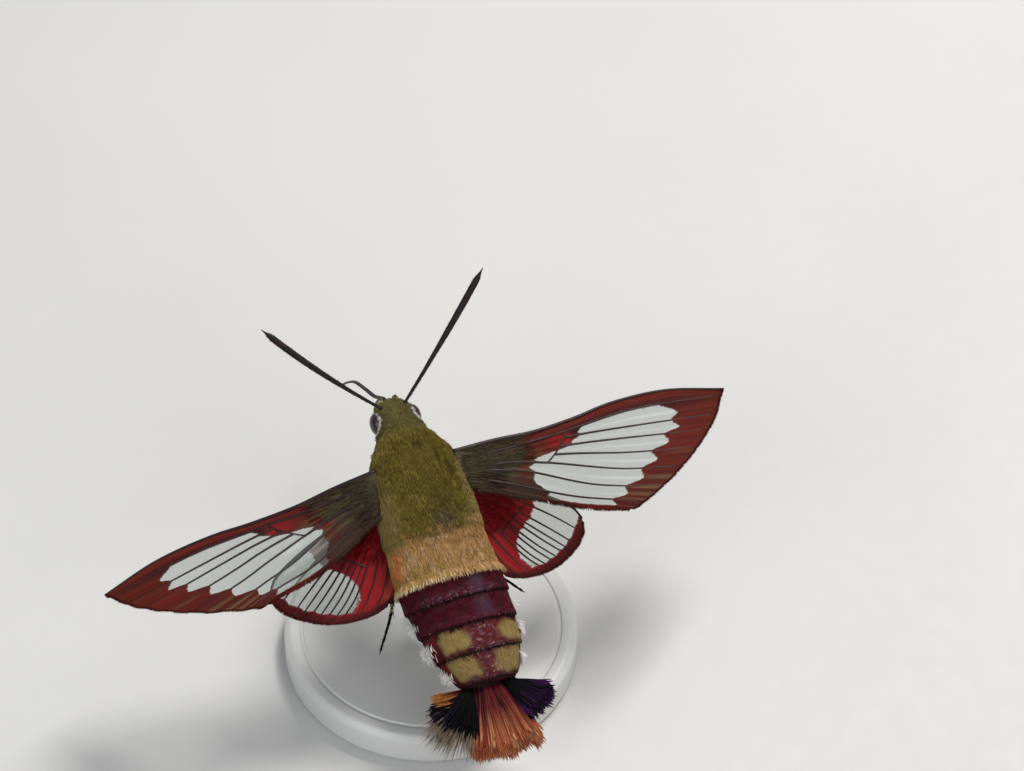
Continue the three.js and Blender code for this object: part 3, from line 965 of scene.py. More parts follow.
@dataclass(frozen=True)
class BodyForm:
    """The outline of the coat, as the CAD source has it: y, half width, back and belly."""

    rows: tuple[tuple[float, ...], ...] = (
        (8.85, 0.5, -0.15, -1.2),
        (8.55, 1.2, 0.4, -1.7),
        (7.95, 1.75, 0.95, -2.2),
        (7.0, 2.05, 1.4, -2.5),
        (5.8, 2.35, 1.9, -2.7),
        (4.8, 3.0, 2.6, -3.0),
        (3.5, 3.85, 3.3, -3.5),
        (1.5, 4.35, 3.85, -3.9),
        (-1.0, 4.65, 3.95, -3.95),
        (-3.5, 4.75, 3.8, -3.7),
        (-7.1, 4.8, 3.6, -3.4),
        (-11.5, 4.4, 3.1, -3.0),
        (-13.9, 3.9, 2.7, -2.6),
        (-15.6, 3.2, 2.2, -2.2),
        (-16.6, 2.4, 1.7, -1.8),
    )
    segment_rears: tuple[float, ...] = (-7.1, -9.3, -11.5, -13.9, -16.3)
    front: float = 8.85
    rear: float = -16.6

    def outline(self, y: Array) -> Array:
        """The half width, back and belly at places along the body.

        Args:
            y: Places along the body.

        Returns:
            Three numbers to a row.
        """
        rows = np.array(self.rows)
        last = len(rows) - 1
        y = np.clip(y, rows[-1, 0], rows[0, 0])
        start = np.clip(np.searchsorted(-rows[:, 0], -y, side="right") - 1, 0, last - 1)
        a, b = rows[start], rows[start + 1]
        before, after = rows[np.maximum(start - 1, 0)], rows[np.minimum(start + 2, last)]
        span = b[:, :1] - a[:, :1]
        t = (y[:, None] - a[:, :1]) / span
        lead = (b[:, 1:] - before[:, 1:]) / (b[:, :1] - before[:, :1]) * span
        trail = (after[:, 1:] - a[:, 1:]) / (after[:, :1] - a[:, :1]) * span
        return hermite(a[:, 1:], b[:, 1:], lead, trail, t)

    def swing(self, y: Array | float) -> Array:
        """How far the body's middle stands to the right."""
        return -0.2 * smooth(y, 4.5, 7.5) + 1.1 * smooth(-np.asarray(y, float), 4, 18)

    def relief(self, y: Array) -> Array:
        """How far the skin stands out towards each segment's rear rim, before it steps in.

        Args:
            y: Places along the body.

        Returns:
            The rise there.
        """
        rise = np.zeros_like(y)
        front = -3.0
        for rear in self.segment_rears:
            inside = (y <= front) & (y >= rear)
            share = (front - y) / (front - rear)
            rise = np.where(inside, 0.2 * share**2 - 0.1, rise)
            front = rear
        return rise

    def depth(self, y: Array) -> Array:
        """How deep the skin lies under the coat's outline."""
        places = [-16.6, -15.9, -7.5, -6.9, -3.5, 3.5, 5.2, 6.5, 8.85]
        depths = [0.16, 0.2, 0.2, 0.45, 0.5, 0.5, 0.36, 0.24, 0.2]
        return np.interp(y, places, depths)

    def point(self, y: Array, turn: Array, grow: Array | float = 0.0) -> Array:
        """Points round the body.

        Args:
            y: Places along it.
            turn: Turns round it: 0 is its right side and a quarter turn its back.
            grow: How far outside the coat's outline.

        Returns:
            One point to a row.
        """
        half, back, belly = self.outline(y).T
        x = self.swing(y) + (half + grow) * np.cos(turn)
        return np.stack([x, y, (back + belly) / 2 + ((back - belly) / 2 + grow) * np.sin(turn)], -1)

    def skin(self, y: Array, turn: Array) -> tuple[Array, Array, Array]:
        """Points on the skin, with the ways the coat lies and stands there.

        Args:
            y: Places along the body.
            turn: Turns round it.

        Returns:
            The points, the way to the rear along the skin, and the way out of it.
        """
        def at(y: Array, turn: Array) -> Array:
            """One point of the skin for each place."""
            return self.point(y, turn, self.relief(y) - self.depth(y))

        points = at(y, turn)
        smooth_at = self.point(y - 0.04, turn, -self.depth(y - 0.04))
        rearward = unit(smooth_at - self.point(y, turn, -self.depth(y)))
        round_it = unit(at(y, turn + 0.01) - points)
        return points, rearward, unit(np.cross(rearward, round_it)) * -1

    def unwrap(self, y: Array, turn: Array) -> Array:
        """Places on the bake map: the turn across it, and the body's length up it."""
        height = (y - self.rear) / (self.front - self.rear)
        return np.stack([0.004 + 0.992 * ((turn / TURN) % 1), 0.01 + 0.98 * height], -1)


@dataclass(frozen=True)
class Patch:
    """A patch of another colour on the body.

    Attributes:
        tone: Its colour.
        y: Its middle along the body.
        aside: Its middle round the body in degrees, 0 on the back and + to the left.
        long: Half its length.
        wide: Half its width in degrees.
        share: How strong it is.
        soft: How soft its edge is.
    """

    tone: Tone
    y: float
    aside: float
    long: float
    wide: float
    share: float = 1.0
    soft: float = 0.3

    def cover(self, y: Array, aside: Array, wobble: Array) -> Array:
        """How strongly the patch covers each place."""
        parts = np.abs((y - self.y) / self.long) ** 3 + np.abs((aside - self.aside) / self.wide) ** 3
        away = parts ** (1 / 3)
        return self.share * (1 - smooth(away + 0.07 * wobble, 1 - self.soft, 1 + self.soft))


@dataclass(frozen=True)
class Markings:
    """The colours of skin and coat alike."""

    form: BodyForm = BodyForm()
    thorax_patches: tuple[Patch, ...] = (
        Patch(Tone.OLIVE_LIGHT, -1.2, 66, 2.4, 24, 0.75, 0.6),
        Patch(Tone.OLIVE_LIGHT, -0.9, -66, 2.6, 16, 0.65, 0.6),
        Patch(Tone.OLIVE_DARK, 4.3, -6, 0.4, 8, 0.8, 0.4),
        Patch(Tone.OLIVE_DARK, 3.2, -28, 0.7, 4, 0.55, 0.5),
        Patch(Tone.OLIVE_DARK, 1.9, -38, 0.9, 4, 0.55, 0.5),
        Patch(Tone.OLIVE_DARK, -0.8, -14, 1.3, 14, 0.35, 0.6),
        Patch(Tone.BACK_GREY, -2.45, -9, 0.75, 13, 0.75, 0.4),
    )
    band_patches: tuple[Patch, ...] = (
        Patch(Tone.TAN_ORANGE, -5.2, 68, 1.3, 14, 0.9, 0.4),
        Patch(Tone.TAN_ORANGE, -6.6, 84, 0.8, 12, 0.6, 0.4),
        Patch(Tone.OLIVE_DARK, -4.3, -32, 0.12, 22, 0.45, 0.6),
        Patch(Tone.TAN_GOLD, -6.5, 40, 0.7, 44, 0.7, 0.5),
    )
    rear_patches: tuple[Patch, ...] = (
        Patch(Tone.RED_BROWN, -12.7, -8, 1.0, 30, 0.85, 0.3),
        Patch(Tone.RED_BROWN, -15.1, 0, 1.0, 26, 0.85, 0.3),
        Patch(Tone.PATCH, -12.75, 33, 0.9, 21, 1.0, 0.26),
        Patch(Tone.PATCH, -12.85, -57, 0.85, 28, 0.95, 0.26),
        Patch(Tone.PATCH, -15.1, 40, 0.95, 26, 1.0, 0.26),
        Patch(Tone.PATCH, -15.15, -45, 0.95, 32, 0.85, 0.26),
        Patch(Tone.FLANK_RED, -12.6, 70, 0.9, 14, 0.8, 0.3),
        Patch(Tone.FLANK_RED, -15.0, 76, 0.9, 12, 0.8, 0.3),
        Patch(Tone.FLANK_RED, -12.6, -86, 0.9, 12, 0.8, 0.3),
        Patch(Tone.FLANK_RED, -15.0, -82, 0.9, 12, 0.8, 0.3),
    )

    def colour(self, y: Array, turn: Array) -> Array:
        """The colour of the body at each place.

        Args:
            y: Places along the body.
            turn: Turns round it.

        Returns:
            Linear colours, one to a row.
        """
        points = self.form.point(y, turn)
        wobble = waves(points, 1.1, 11)
        streak = waves(points * np.array([1, 0.22, 1]), 0.5, 12)
        fine = waves(points, 0.32, 13)
        aside = (np.degrees(turn) + 90) % 360 - 180
        flank = np.abs(aside)
        under = smooth(flank + 5 * wobble, 104, 126)

        thorax = Tone.OLIVE
        thorax = blend(thorax, Tone.OLIVE_LIGHT, 0.45 * smooth(flank, 40, 95))
        for patch in self.thorax_patches:
            thorax = blend(thorax, patch.tone, patch.cover(y, aside, wobble))
        thorax = blend(thorax, Tone.OLIVE_DARK, 0.22 * smooth(streak, 0.3, 1.8))
        thorax = blend(thorax, Tone.OLIVE_LIGHT, 0.22 * smooth(-streak, 0.4, 1.8))
        thorax = blend(thorax, Tone.HEAD_OLIVE, 0.8 * smooth(y, 4.8, 7.0))
        face = smooth(flank, 88, 112) * smooth(y, 4.4, 6.2)
        thorax = blend(thorax, Tone.CREAM, np.maximum(under * 0.9, face * 0.85))

        band = Tone.TAN
        for patch in self.band_patches:
            band = blend(band, patch.tone, patch.cover(y, aside, wobble))
        band = blend(band, Tone.TAN_GOLD, 0.5 * smooth(streak, 0.2, 1.6))
        band = blend(band, Tone.CREAM, np.maximum(0.25 * smooth(-streak, 0.3, 1.6), under * 0.7))
        slant = 0.75 * smooth(-aside, 15, 70) - 0.35 * smooth(aside, 25, 75)
        edge = -3.15 + slant + 0.14 * wobble + 0.12 * streak
        colour = blend(thorax, band, smooth(edge - y, -0.75, 0.75))

        rear = Tone.BURGUNDY
        rear = blend(rear, Tone.BURGUNDY_DARK, 0.5 * smooth(wobble, 0.2, 1.6))
        dusted = within(aside, -42, 50, 30) * smooth(fine, -0.4, 1.2)
        for share, rim in zip((0.12, 0.42, 0.1, 0.12, 0.4), self.form.segment_rears):
            rear = blend(rear, Tone.LILAC, share * dusted * within(y, rim + 0.06, rim + 0.5, 0.35))
        for place in (-8.1, -10.3):
            glint = Patch(Tone.GLINT, place, -20, 0.8, 8, 0.4, 0.95).cover(y, aside, wobble)
            rear = blend(rear, Tone.GLINT, glint)
        for patch in self.rear_patches:
            rear = blend(rear, patch.tone, patch.cover(y, aside, wobble))
        middle = within(aside, -24, 14, 14) * within(y, -16.2, -11.7, 0.4)
        rear = blend(rear, Tone.LILAC, 0.5 * middle * smooth(fine, 0.6, 1.6))
        rear = blend(rear, Tone.CREAM, 0.45 * middle * smooth(waves(points, 0.2, 14), 1.8, 2.3))
        belly = blend(Tone.BELLY_RED, Tone.CREAM, 0.5 * smooth(fine, 0.2, 1.5))
        rear = blend(rear, belly, 0.85 * under)
        for rim in self.form.segment_rears[1:]:
            rear = blend(rear, Tone.BLACK, 0.8 * within(y, rim - 0.24, rim - 0.02, 0.08))
        return blend(colour, rear, smooth(-7.25 - y, -0.04, 0.04))


@dataclass(frozen=True)
class CoatPatch:
    """A stretch of the body's coat.

    Attributes:
        name: The name of its pieces.
        slot: Their material slot.
        tuft: The kind of tuft.
        count: How many tufts it has.
        front: Where it starts along the body.
        rear: Where it ends.
        grow_rear: A factor on the tufts' length at its rear end.
    """

    name: str
    slot: str
    tuft: Tuft
    count: int
    front: float
    rear: float
    grow_rear: float = 1.0


@dataclass(frozen=True)
class Eye:
    """A compound eye in the side of the head.

    Attributes:
        side: 1 for the right one and -1 for the left one.
        x: How far its middle is from the head's.
        y: Its middle along the body.
        z: Its middle's height.
        deep: How far it reaches outwards.
        radius: Its radius as seen from the side.
    """

    side: int
    x: float = 1.55
    y: float = 6.95
    z: float = -0.45
    deep: float = 0.66
    radius: float = 0.98

    @property
    def middle(self) -> Array:
        """Its middle."""
        return np.array([self.side * self.x + float(BodyForm().swing(self.y)), self.y, self.z])

    def outside(self, points: Array, grow: float) -> Array:
        """Which points are clear of the eye."""
        radii = np.array([self.deep, self.radius, self.radius]) + grow
        return (((points - self.middle) / radii) ** 2).sum(-1) > 1

    def build(self) -> Surface:
        """The eye: a domed lens, flatter at its rim, in a raised socket ring.

        Returns:
            Its surface.
        """
        rows, columns = 40, 72
        rise = np.linspace(-0.32 * math.pi, 0.497 * math.pi, rows)
        turns = np.linspace(0, TURN, columns, endpoint=False)
        dome = np.cos(rise) ** 0.92
        rim = 0.05 * np.exp(-(((rise + 0.12) / 0.09) ** 2))
        outwards = self.side * self.deep * np.sin(rise)
        rings = np.stack([
            np.broadcast_to(outwards[:, None], (rows, columns)),
            (self.radius * (dome + rim))[:, None] * np.cos(turns) * self.side,
            (self.radius * (dome + rim))[:, None] * np.sin(turns) * 0.98,
        ], -1)
        ends = np.array([[outwards[0], 0, 0], [outwards[-1] + 0.0005 * self.side, 0, 0]])
        points = np.vstack([rings.reshape(-1, 3), ends]) + self.middle
        return Surface(points, closed_grid(rows, columns))


@dataclass
class Body:
    """The one skin of head, collar, thorax and abdomen, and the coat that grows on it.

    Attributes:
        form: The body's outline.
        markings: Its colours.
        eyes: The eyes, which the coat keeps clear of.
        rings: How many rings the skin has.
        sides: How many sides each has.
        rim_tuft: The scales along the segments' rims.
        band_fringe: The hair that hangs over the band's rear edge.
        flank_tuft: The hair of the pale flank tufts.
        flank_places: For each pair of these, its middle, half its length and its count of hairs.
        patches: The stretches of coat.
    """

    form: BodyForm = BodyForm()
    markings: Markings = Markings()
    eyes: tuple[Eye, Eye] = (Eye(-1), Eye(1))
    rings: int = 300
    sides: int = 120
    rim_tuft: Tuft = Tuft(0.34, 0.09, 6, 0.06, 4, 0.75, 1.1, vary=0.08)
    band_fringe: Tuft = Tuft(0.85, 0.075, 8, 0.06, 7, 0.75, 1.2, **LONG, vary=0.3)
    flank_tuft: Tuft = Tuft(0.95, 0.06, 52, 0.3, 18, 0.85, 1.1, **LONG, vary=0.3)
    flank_places: tuple[tuple[float, float, int], ...] = (
        (-10.4, 0.25, 120), (-12.6, 0.42, 560), (-14.9, 0.3, 360),
    )
    patches: tuple[CoatPatch, ...] = (
        CoatPatch("coat_head", "thorax_fur", Tuft(0.42, 0.055, 18, 0.28, 9, **FUR), 11000, 8.84, 5.6, 1.6),
        CoatPatch("coat_thorax", "thorax_fur", Tuft(0.9, 0.07, 16, 0.24, 5, **FUR), 40000, 5.9, -3.4),
        CoatPatch("coat_band", "thorax_fur", Tuft(0.95, 0.07, 13, 0.2, 5, **FUR), 19000, -2.9, -7.05),
        CoatPatch(
            "coat_abdomen", "abdomen_scales", Tuft(0.38, 0.09, 8, 0.1, 8, 0.8, 1.08, vary=0.13),
            22000, -7.0, -16.5,
        ),
    )

    def build_skin(self) -> Surface:
        """The skin, from the face to the end of the abdomen.

        Returns:
            Its surface, coloured.
        """
        even = np.linspace(self.form.front, self.form.rear, self.rings)
        rims = np.add.outer(self.form.segment_rears, (0.03, 0.005, -0.02, -0.06)).ravel()
        y = np.sort(np.concatenate([even, rims]))[::-1]
        turns = np.linspace(0, TURN, self.sides, endpoint=False)
        rows, columns = len(y), self.sides
        yy, tt = np.repeat(y, columns), np.tile(turns, rows)
        points = self.form.skin(yy, tt)[0]
        points += 0.012 * waves(points, 0.9, 21)[:, None] * unit(points * [1, 0, 1])
        front = self.form.point(y[:1], turns[:1]) * [0, 1, 0] + [-0.2, 0.12, -0.67]
        rear = np.array([[float(self.form.swing(self.form.rear)), self.form.rear - 0.1, -0.05]])
        lie = np.stack([4.2 * np.cos(tt), 4.2 * np.sin(tt), yy * 0.16], -1)
        # The skin takes the markings at 0.72 of their brightness: painted shade under the coat.
        colours = self.markings.colour(yy, tt) * 0.72
        return Surface(
            np.vstack([points, front, rear]),
            closed_grid(rows, columns),
            np.vstack([colours, colours[:1], colours[-1:]]),
            {"lie": np.vstack([lie, lie[:1], lie[-1:]])},
        )

    def roots(self, count: int, front: float, rear: float, seed: int) -> tuple[Array, Array]:
        """Draws places on the skin, as dense at every place.

        Args:
            count: How many.
            front: Where the stretch starts.
            rear: Where it ends.
            seed: The seed of the draw.

        Returns:
            Places along the body and turns round it.
        """
        rng = np.random.default_rng(seed)
        grid = np.linspace(rear, front, 300)
        weight = self.form.outline(grid)[:, 0] + 0.15
        filled = np.cumsum(weight)
        y = np.interp(rng.uniform(filled[0], filled[-1], count), filled, grid)
        return y, rng.uniform(0, TURN, count)

    def over_eye(self, y: Array, side: int) -> Array:
        """Where the skin comes out over an eye.

        Args:
            y: Places along the body.
            side: 1 for the right eye and -1 for the left one.

        Returns:
            How far up from the body's side, in degrees.
        """
        rise = np.tile(np.arange(0, 70, 2.0), (len(y), 1))
        turn = np.radians(rise if side > 0 else 180 - rise)
        points = self.form.skin(np.repeat(y, rise.shape[1]), turn.ravel())[0]
        clear = self.eyes[side > 0].outside(points, 0.05).reshape(rise.shape)
        return rise[np.arange(len(y)), clear.argmax(1)]

    def grow(
        self, tuft: Tuft, y: Array, turn: Array, seed: int, lengths: Array | float = 1.0,
        tips: Array | None = None, colours: Array | None = None, part: float = 0.0,
    ) -> Surface:
        """Grows tufts from places on the skin.

        Args:
            tuft: The kind of tuft.
            y: Their places along the body.
            turn: Their turns round it.
            seed: The seed of their variation.
            lengths: A factor on each one's length.
            tips: The colours of their tips, or None.
            colours: Their colours, or None for the body's markings.
            part: How far they part from the body's length, outwards to the flanks.

        Returns:
            The tufts.
        """
        points, rearward, outward = self.form.skin(y, turn)
        clear = np.logical_and(*[eye.outside(points, 0.04) for eye in self.eyes])
        y, turn, points, rearward, outward = (a[clear] for a in (y, turn, points, rearward, outward))
        lengths = np.broadcast_to(lengths, clear.shape)[clear]
        tips = None if tips is None else np.broadcast_to(tips, (*clear.shape, 3))[clear]
        flow = 0.1 * waves(points, 2.2, 31) + 0.06 * waves(points, 0.7, 32)
        aside = np.cross(outward, rearward)
        along = rearward + aside * (flow * 0.8 + part * np.cos(turn))[:, None]
        if colours is None:
            colours = self.markings.colour(y, turn)
        else:
            colours = np.broadcast_to(colours, (*clear.shape, 3))[clear]
        unwrap = self.form.unwrap(y, turn)
        return tuft.grow(points - outward * 0.03, along, outward, colours, unwrap, seed, lengths, tips)

    def show_stretches(self) -> None:
        """Shows the stretches of coat."""
        for index, patch in enumerate(self.patches):
            y, turn = self.roots(coat_count(patch.count), patch.front, patch.rear, 100 + index)
            share = (patch.front - y) / (patch.front - patch.rear)
            clumps = 1 + 0.1 * waves(self.form.point(y, turn), 1.6, 33)
            lengths = (1 + (patch.grow_rear - 1) * share) * clumps
            if patch.slot == "abdomen_scales":
                rims = np.array(self.form.segment_rears[::-1])
                ahead = y - rims[np.clip(np.searchsorted(rims, y) - 1, 0, len(rims) - 1)]
                lengths = np.minimum(lengths, (np.abs(ahead) + 0.1) / patch.tuft.length)
            tufts = self.grow(patch.tuft, y, turn, 200 + index, lengths)
            show_coat(patch.name, patch.slot, tufts)

    def show_rims(self) -> None:
        """Shows the scales at the segments' rims, and the long ones over the first rim."""
        rng = np.random.default_rng(41)
        count = coat_count(3000)
        y = self.form.segment_rears[0] + rng.uniform(-0.02, 0.45, count)
        turn = rng.uniform(0, TURN, count)
        pale = rng.uniform(0.1, 0.9, count) * (0.35 + 0.65 * smooth(-np.cos(turn), -0.2, 0.5))
        tips = blend(Tone.TAN, Tone.CREAM, pale)
        fringe = self.grow(self.band_fringe, y, turn, 42, tips=tips)
        show_coat("coat_band_fringe", "thorax_fur", fringe)
        rims = np.array(self.form.segment_rears[1:])
        count = coat_count(5200)
        y = rng.choice(rims, count) + rng.uniform(0.14, 0.34, count)
        turn = rng.uniform(0, TURN, count)
        pale = (rng.uniform(size=count) < 0.1) * rng.uniform(0.2, 0.8, count)
        tips = blend(self.markings.colour(y, turn), Tone.CREAM, pale)
        show_coat("coat_rims", "abdomen_scales", self.grow(self.rim_tuft, y, turn, 43, tips=tips))

    def show_flanks(self) -> None:
        """Shows the pale tufts that stand out along both flanks."""
        rng = np.random.default_rng(44)
        made = []
        for index, (place, half, full) in enumerate(self.flank_places):
            for side in (0, 1):
                count = coat_count(full // (3 - 2 * side))
                y = place + half * rng.normal(0, 0.6, count)
                lean = np.radians(rng.normal(-4, 9, count))
                turn = lean if side == 0 else math.pi - lean
                tips = np.broadcast_to(Tone.WHITE.linear, (count, 3))
                tufts = self.grow(
                    self.flank_tuft, y, turn, 45 + 2 * index + side, colours=Tone.WHITE.linear, tips=tips
                )
                made.append(tufts)
        show_coat("coat_flank_tufts", "pale_scales", joined(made))

    def build(self) -> None:
        """Shows the skin and the whole coat."""
        skin = Piece("body_skin", "thorax_fur", ("head", "collar", "thorax", "abdomen"))
        skin.show(self.build_skin(), SKIN)
        self.show_stretches()
        self.show_rims()
        self.show_flanks()


@dataclass
class Head:
    """Eyes, lashes, feelers, palps and tongue.

    Attributes:
        body: The body that carries them.
        antenna_root: Where an antenna leaves the head, on the right.
        antenna_tips: The tips, on the left and right, measured outwards.
        antenna_bows: How far each bows.
        swing: How far the head stands aside.
        tongue: The proboscis's course, as ways ahead and down from its root.
        antenna_sides: How many sides an antenna has.
        palp_sides: How many sides a palp has.
        palp_path: The middle line of a palp, on the right.
        lashes: The stripes over the eye: their names, slots, counts, heights, colours and tufts.
    """

    body: Body
    antenna_root: Point = (1.05, 8.05, 0.4)
    antenna_tips: tuple[Point, ...] = ((9.9, 16.15, 4.6), (9.6, 16.7, 4.6))
    antenna_bows: Pair = (0.28, 0.1)
    swing: float = -0.2
    tongue: tuple[Pair, ...] = (
        (-0.5, -0.3), (0, 0), (1, 0.7), (1.6, 2.4), (2.25, 4.5), (3.55, 7.3), (5, 10.7), (5.75, 13.8),
        (6.2, 16.6),
    )
    antenna_sides: int = 18
    palp_sides: int = 28
    palp_path: tuple[Point, ...] = (
        (0.95, 7.2, -2.4), (0.85, 8.2, -2.3), (0.72, 8.8, -1.75), (0.66, 8.95, -1.15),
    )
    lashes: tuple[tuple[str, str, int, float, Tone, Tuft], ...] = (
        ("coat_eye_stripes", "pale_scales", 420, 9, Tone.WHITE, Tuft(0.62, 0.05, 38, 0.42, 7, 0.85, 1.1)),
        ("coat_brows", "thorax_fur", 900, 26, Tone.HEAD_OLIVE, Tuft(0.6, 0.055, 34, 0.4, 9, 0.75, 1.1)),
    )

    def build_antenna(self, side: int) -> Surface:
        """One antenna: a shaft of short rings that swells to a club and ends in a fine hook.

        Args:
            side: 1 for the right one and -1 for the left one.

        Returns:
            Its surface.
        """
        which = 1 if side > 0 else 0
        start = np.array(self.antenna_root)
        start[0] += side * float(self.body.form.swing(start[1]))
        end = np.array(self.antenna_tips[which])
        sideways = unit(np.array([1.0, -1.0, 0.0]))
        shares = np.linspace(-0.04, 1, 9)[:, None]
        controls = start + (end - start) * shares
        controls = controls + sideways * self.antenna_bows[which] * 4 * shares * (1 - shares)
        controls[:, 0] *= side
        rings, fine = 66, 6
        path = even_path(controls, rings * fine + 1)
        u = np.linspace(0, 1, len(path))
        swell = 0.15 + 0.16 * smooth(u, 0.05, 0.78) - 0.02 * smooth(u, 0.0, 0.05)
        taper = 1 - 0.86 * smooth(u, 0.9, 1.0)
        phase = (u * rings) % 1
        ringed = 1 - 0.1 * np.exp(-((np.minimum(phase, 1 - phase) / 0.12) ** 2))
        return tube(path, swell * taper * ringed, self.antenna_sides, 0.86)

    def build_bristles(self, side: int, shaft: Surface) -> Surface:
        """The short bristles along an antenna's underside.

        Args:
            side: 1 for the right antenna and -1 for the left one.
            shaft: The antenna.

        Returns:
            The bristles.
        """
        rng = np.random.default_rng(61 + side)
        ring = shaft.points[:-2].reshape(-1, self.antenna_sides, 3)
        middles = ring.mean(1)
        rows = rng.integers(30, len(middles) - 20, coat_count(900))
        spots = rng.integers(0, self.antenna_sides, len(rows))
        roots = ring[rows, spots]
        outward = unit(roots - middles[rows])
        along = unit(middles[np.minimum(rows + 2, len(middles) - 1)] - middles[rows])
        colours = np.broadcast_to(Tone.WING_DARK.linear * 0.6, roots.shape)
        unwrap = np.stack([spots / self.antenna_sides * 0.98 + 0.01, rows / len(middles) * 0.98 + 0.01], -1)
        return Tuft(0.13, 0.03, 34, 0.1, 12).grow(roots, along, outward, colours, unwrap, 62 + side)

    def build_tongue(self) -> Surface:
        """The proboscis: two ringed half tubes side by side.

        Returns:
            Its surface.
        """
        controls = np.array([[self.swing, 8.2 + ahead, -1.7 - down] for ahead, down in self.tongue])
        path = even_path(controls, 440)
        u = np.linspace(0, 1, len(path))
        radii = (0.125 - 0.05 * u**2) * (1 + 0.08 * np.sin(u * 110 * TURN))
        halves = [tube(path + [side * 0.062, 0, 0], radii, 10) for side in (-1, 1)]
        return joined(halves)

    def build_palp(self, side: int) -> tuple[Surface, Surface]:
        """One palp and its coat.

        Args:
            side: 1 for the right one and -1 for the left one.

        Returns:
            The palp's body and its tufts.
        """
        path = even_path(np.array([[side * x + self.swing, y, z] for x, y, z in self.palp_path]), 40)
        u = np.linspace(0, 1, len(path))
        radii = 0.36 * np.sqrt(np.clip(1 - u**3, 0.05, 1)) * (0.86 + 0.14 * smooth(u, 0, 0.3))
        core = tube(path, radii, self.palp_sides)
        ring = core.points[:-2].reshape(-1, self.palp_sides, 3)
        middles = ring.mean(1)
        rng = np.random.default_rng(65 + side)
        rows = rng.integers(0, len(middles) - 1, coat_count(1100))
        spots = rng.integers(0, self.palp_sides, len(rows))
        roots = ring[rows, spots]
        outward = unit(roots - middles[rows])
        last = len(middles) - 1
        along = unit(middles[np.minimum(rows + 1, last)] - middles[np.maximum(rows - 1, 0)])
        upper = smooth(outward[:, 2] + outward[:, 1] * 0.5, -0.3, 0.4)
        colours = blend(Tone.CREAM, Tone.HEAD_OLIVE, upper)
        unwrap = np.stack([spots / self.palp_sides * 0.98 + 0.01, rows / len(middles) * 0.98 + 0.01], -1)
        tufts = Tuft(0.34, 0.06, 20, 0.25, 10).grow(roots, along, outward, colours, unwrap, 66 + side)
        # The core is cream at 0.7 of its brightness: painted shade under the palp's hairs.
        core.coloured(Tone.CREAM.linear * 0.7)
        core.values = {"lie": core.points * [1, 0.2, 1]}
        return core, tufts

    def show_lashes(self) -> None:
        """Shows the white stripe of scales over each eye, and the brow above it."""
        rng = np.random.default_rng(71)
        for name, slot, full, rise, tone, tuft in self.lashes:
            made = []
            for side in (-1, 1):
                count = coat_count(full)
                y = rng.uniform(5.8, 8.0, count)
                angle = self.body.over_eye(y, side) + rise * rng.uniform(0.15, 1, count)
                turn = np.radians(angle if side > 0 else 180 - angle)
                made.append(self.body.grow(tuft, y, turn, 72 + side, colours=tone.linear, part=2.6))
            show_coat(name, slot, joined(made))

    def build(self) -> None:
        """Shows every part of the head."""
        for side, name in ((-1, "left"), (1, "right")):
            eye = Eye(side)
            Piece(f"eye_{name}_lens", "eye_surface", (f"eye_{name}",)).show(eye.build(), EYE_SURFACE)
            antenna = self.build_antenna(side)
            Piece(f"antenna_{name}_shaft", "dark_horn", (f"antenna_{name}",)).show(antenna, DARK_HORN)
            show_coat(f"antenna_{name}_bristles", "dark_horn", self.build_bristles(side, antenna))
            core, tufts = self.build_palp(side)
            Piece(f"palp_{name}_core", "pale_scales", (f"palp_{name}",)).show(core, SKIN)
            show_coat(f"palp_{name}_coat", "pale_scales", tufts)
        Piece("proboscis_tubes", "dark_horn", ("proboscis",)).show(self.build_tongue(), DARK_HORN)
        self.show_lashes()


# ---- the wings


class Side(Enum):
    """The moth's left and right, with the sign of x there."""

    LEFT = -1
    RIGHT = 1


@dataclass(frozen=True)
class WingPose:
    """How a wing is held, in degrees: raised, swept back, and its rear edge turned up."""

    lift: float
    sweep: float
    twist: float


@dataclass(frozen=True)
class WingMarks:
    """Where a wing's windows are, and how it is coloured.

    Attributes:
        starts: For each line of the wing, the share of the length where the window starts.
        ends: For each line, the share of the line where it ends.
        closed: How far the first and last strips are scaled over, in strips.
        scallop: How far the window reaches into the border between two veins.
    """

    starts: tuple[float, ...]
    ends: tuple[float, ...]
    closed: Pair
    scallop: float


@dataclass(frozen=True)
class WingPlan:
    """A wing's lines from root to edge, as shares of its length along and back from its leading edge."""

    name: str
    length: float
    root: Point
    bend: float
    lines: tuple[tuple[Pair, ...], ...]
    marks: WingMarks
    across_steps: int
    along_steps: int
    vein_radius: float
    veins: tuple[float, ...] = (0, 1, 2, 3, 4, 5, 6, 7)


FOREWING = WingPlan(
    "forewing",
    24.6,
    (3.4, 2.85, 1.2),
    0.6,
    (
        ((0, 0), (0.15, -0.004), (0.3, 0), (0.45, -0.014), (0.6, -0.038), (0.8, -0.036), (1, 0.014)),
        ((0, 0.028), (0.2, 0.034), (0.4, 0.026), (0.66, 0.006), (0.985, 0.034)),
        ((0, 0.04), (0.2, 0.05), (0.42, 0.05), (0.66, 0.07), (0.94, 0.1)),
        ((0, 0.05), (0.2, 0.06), (0.385, 0.078), (0.62, 0.11), (0.89, 0.152)),
        ((0, 0.058), (0.2, 0.072), (0.36, 0.105), (0.57, 0.16), (0.825, 0.207)),
        ((0, 0.067), (0.18, 0.085), (0.3, 0.12), (0.52, 0.212), (0.745, 0.264)),
        ((0, 0.078), (0.13, 0.1), (0.236, 0.135), (0.44, 0.255), (0.65, 0.32)),
        ((0, 0.1), (0.1, 0.13), (0.21, 0.185), (0.38, 0.285), (0.56, 0.362)),
        ((0, 0.125), (0.1, 0.163), (0.22, 0.228), (0.38, 0.32), (0.515, 0.376)),
    ),
    WingMarks(
        (0.47, 0.47, 0.455, 0.41, 0.3, 0.27, 0.25, 0.27, 0.3),
        (0.83, 0.84, 0.87, 0.87, 0.86, 0.86, 0.87, 0.88, 0.88),
        (1.0, 0.35),
        0.035,
    ),
    10,
    130,
    0.12,
)
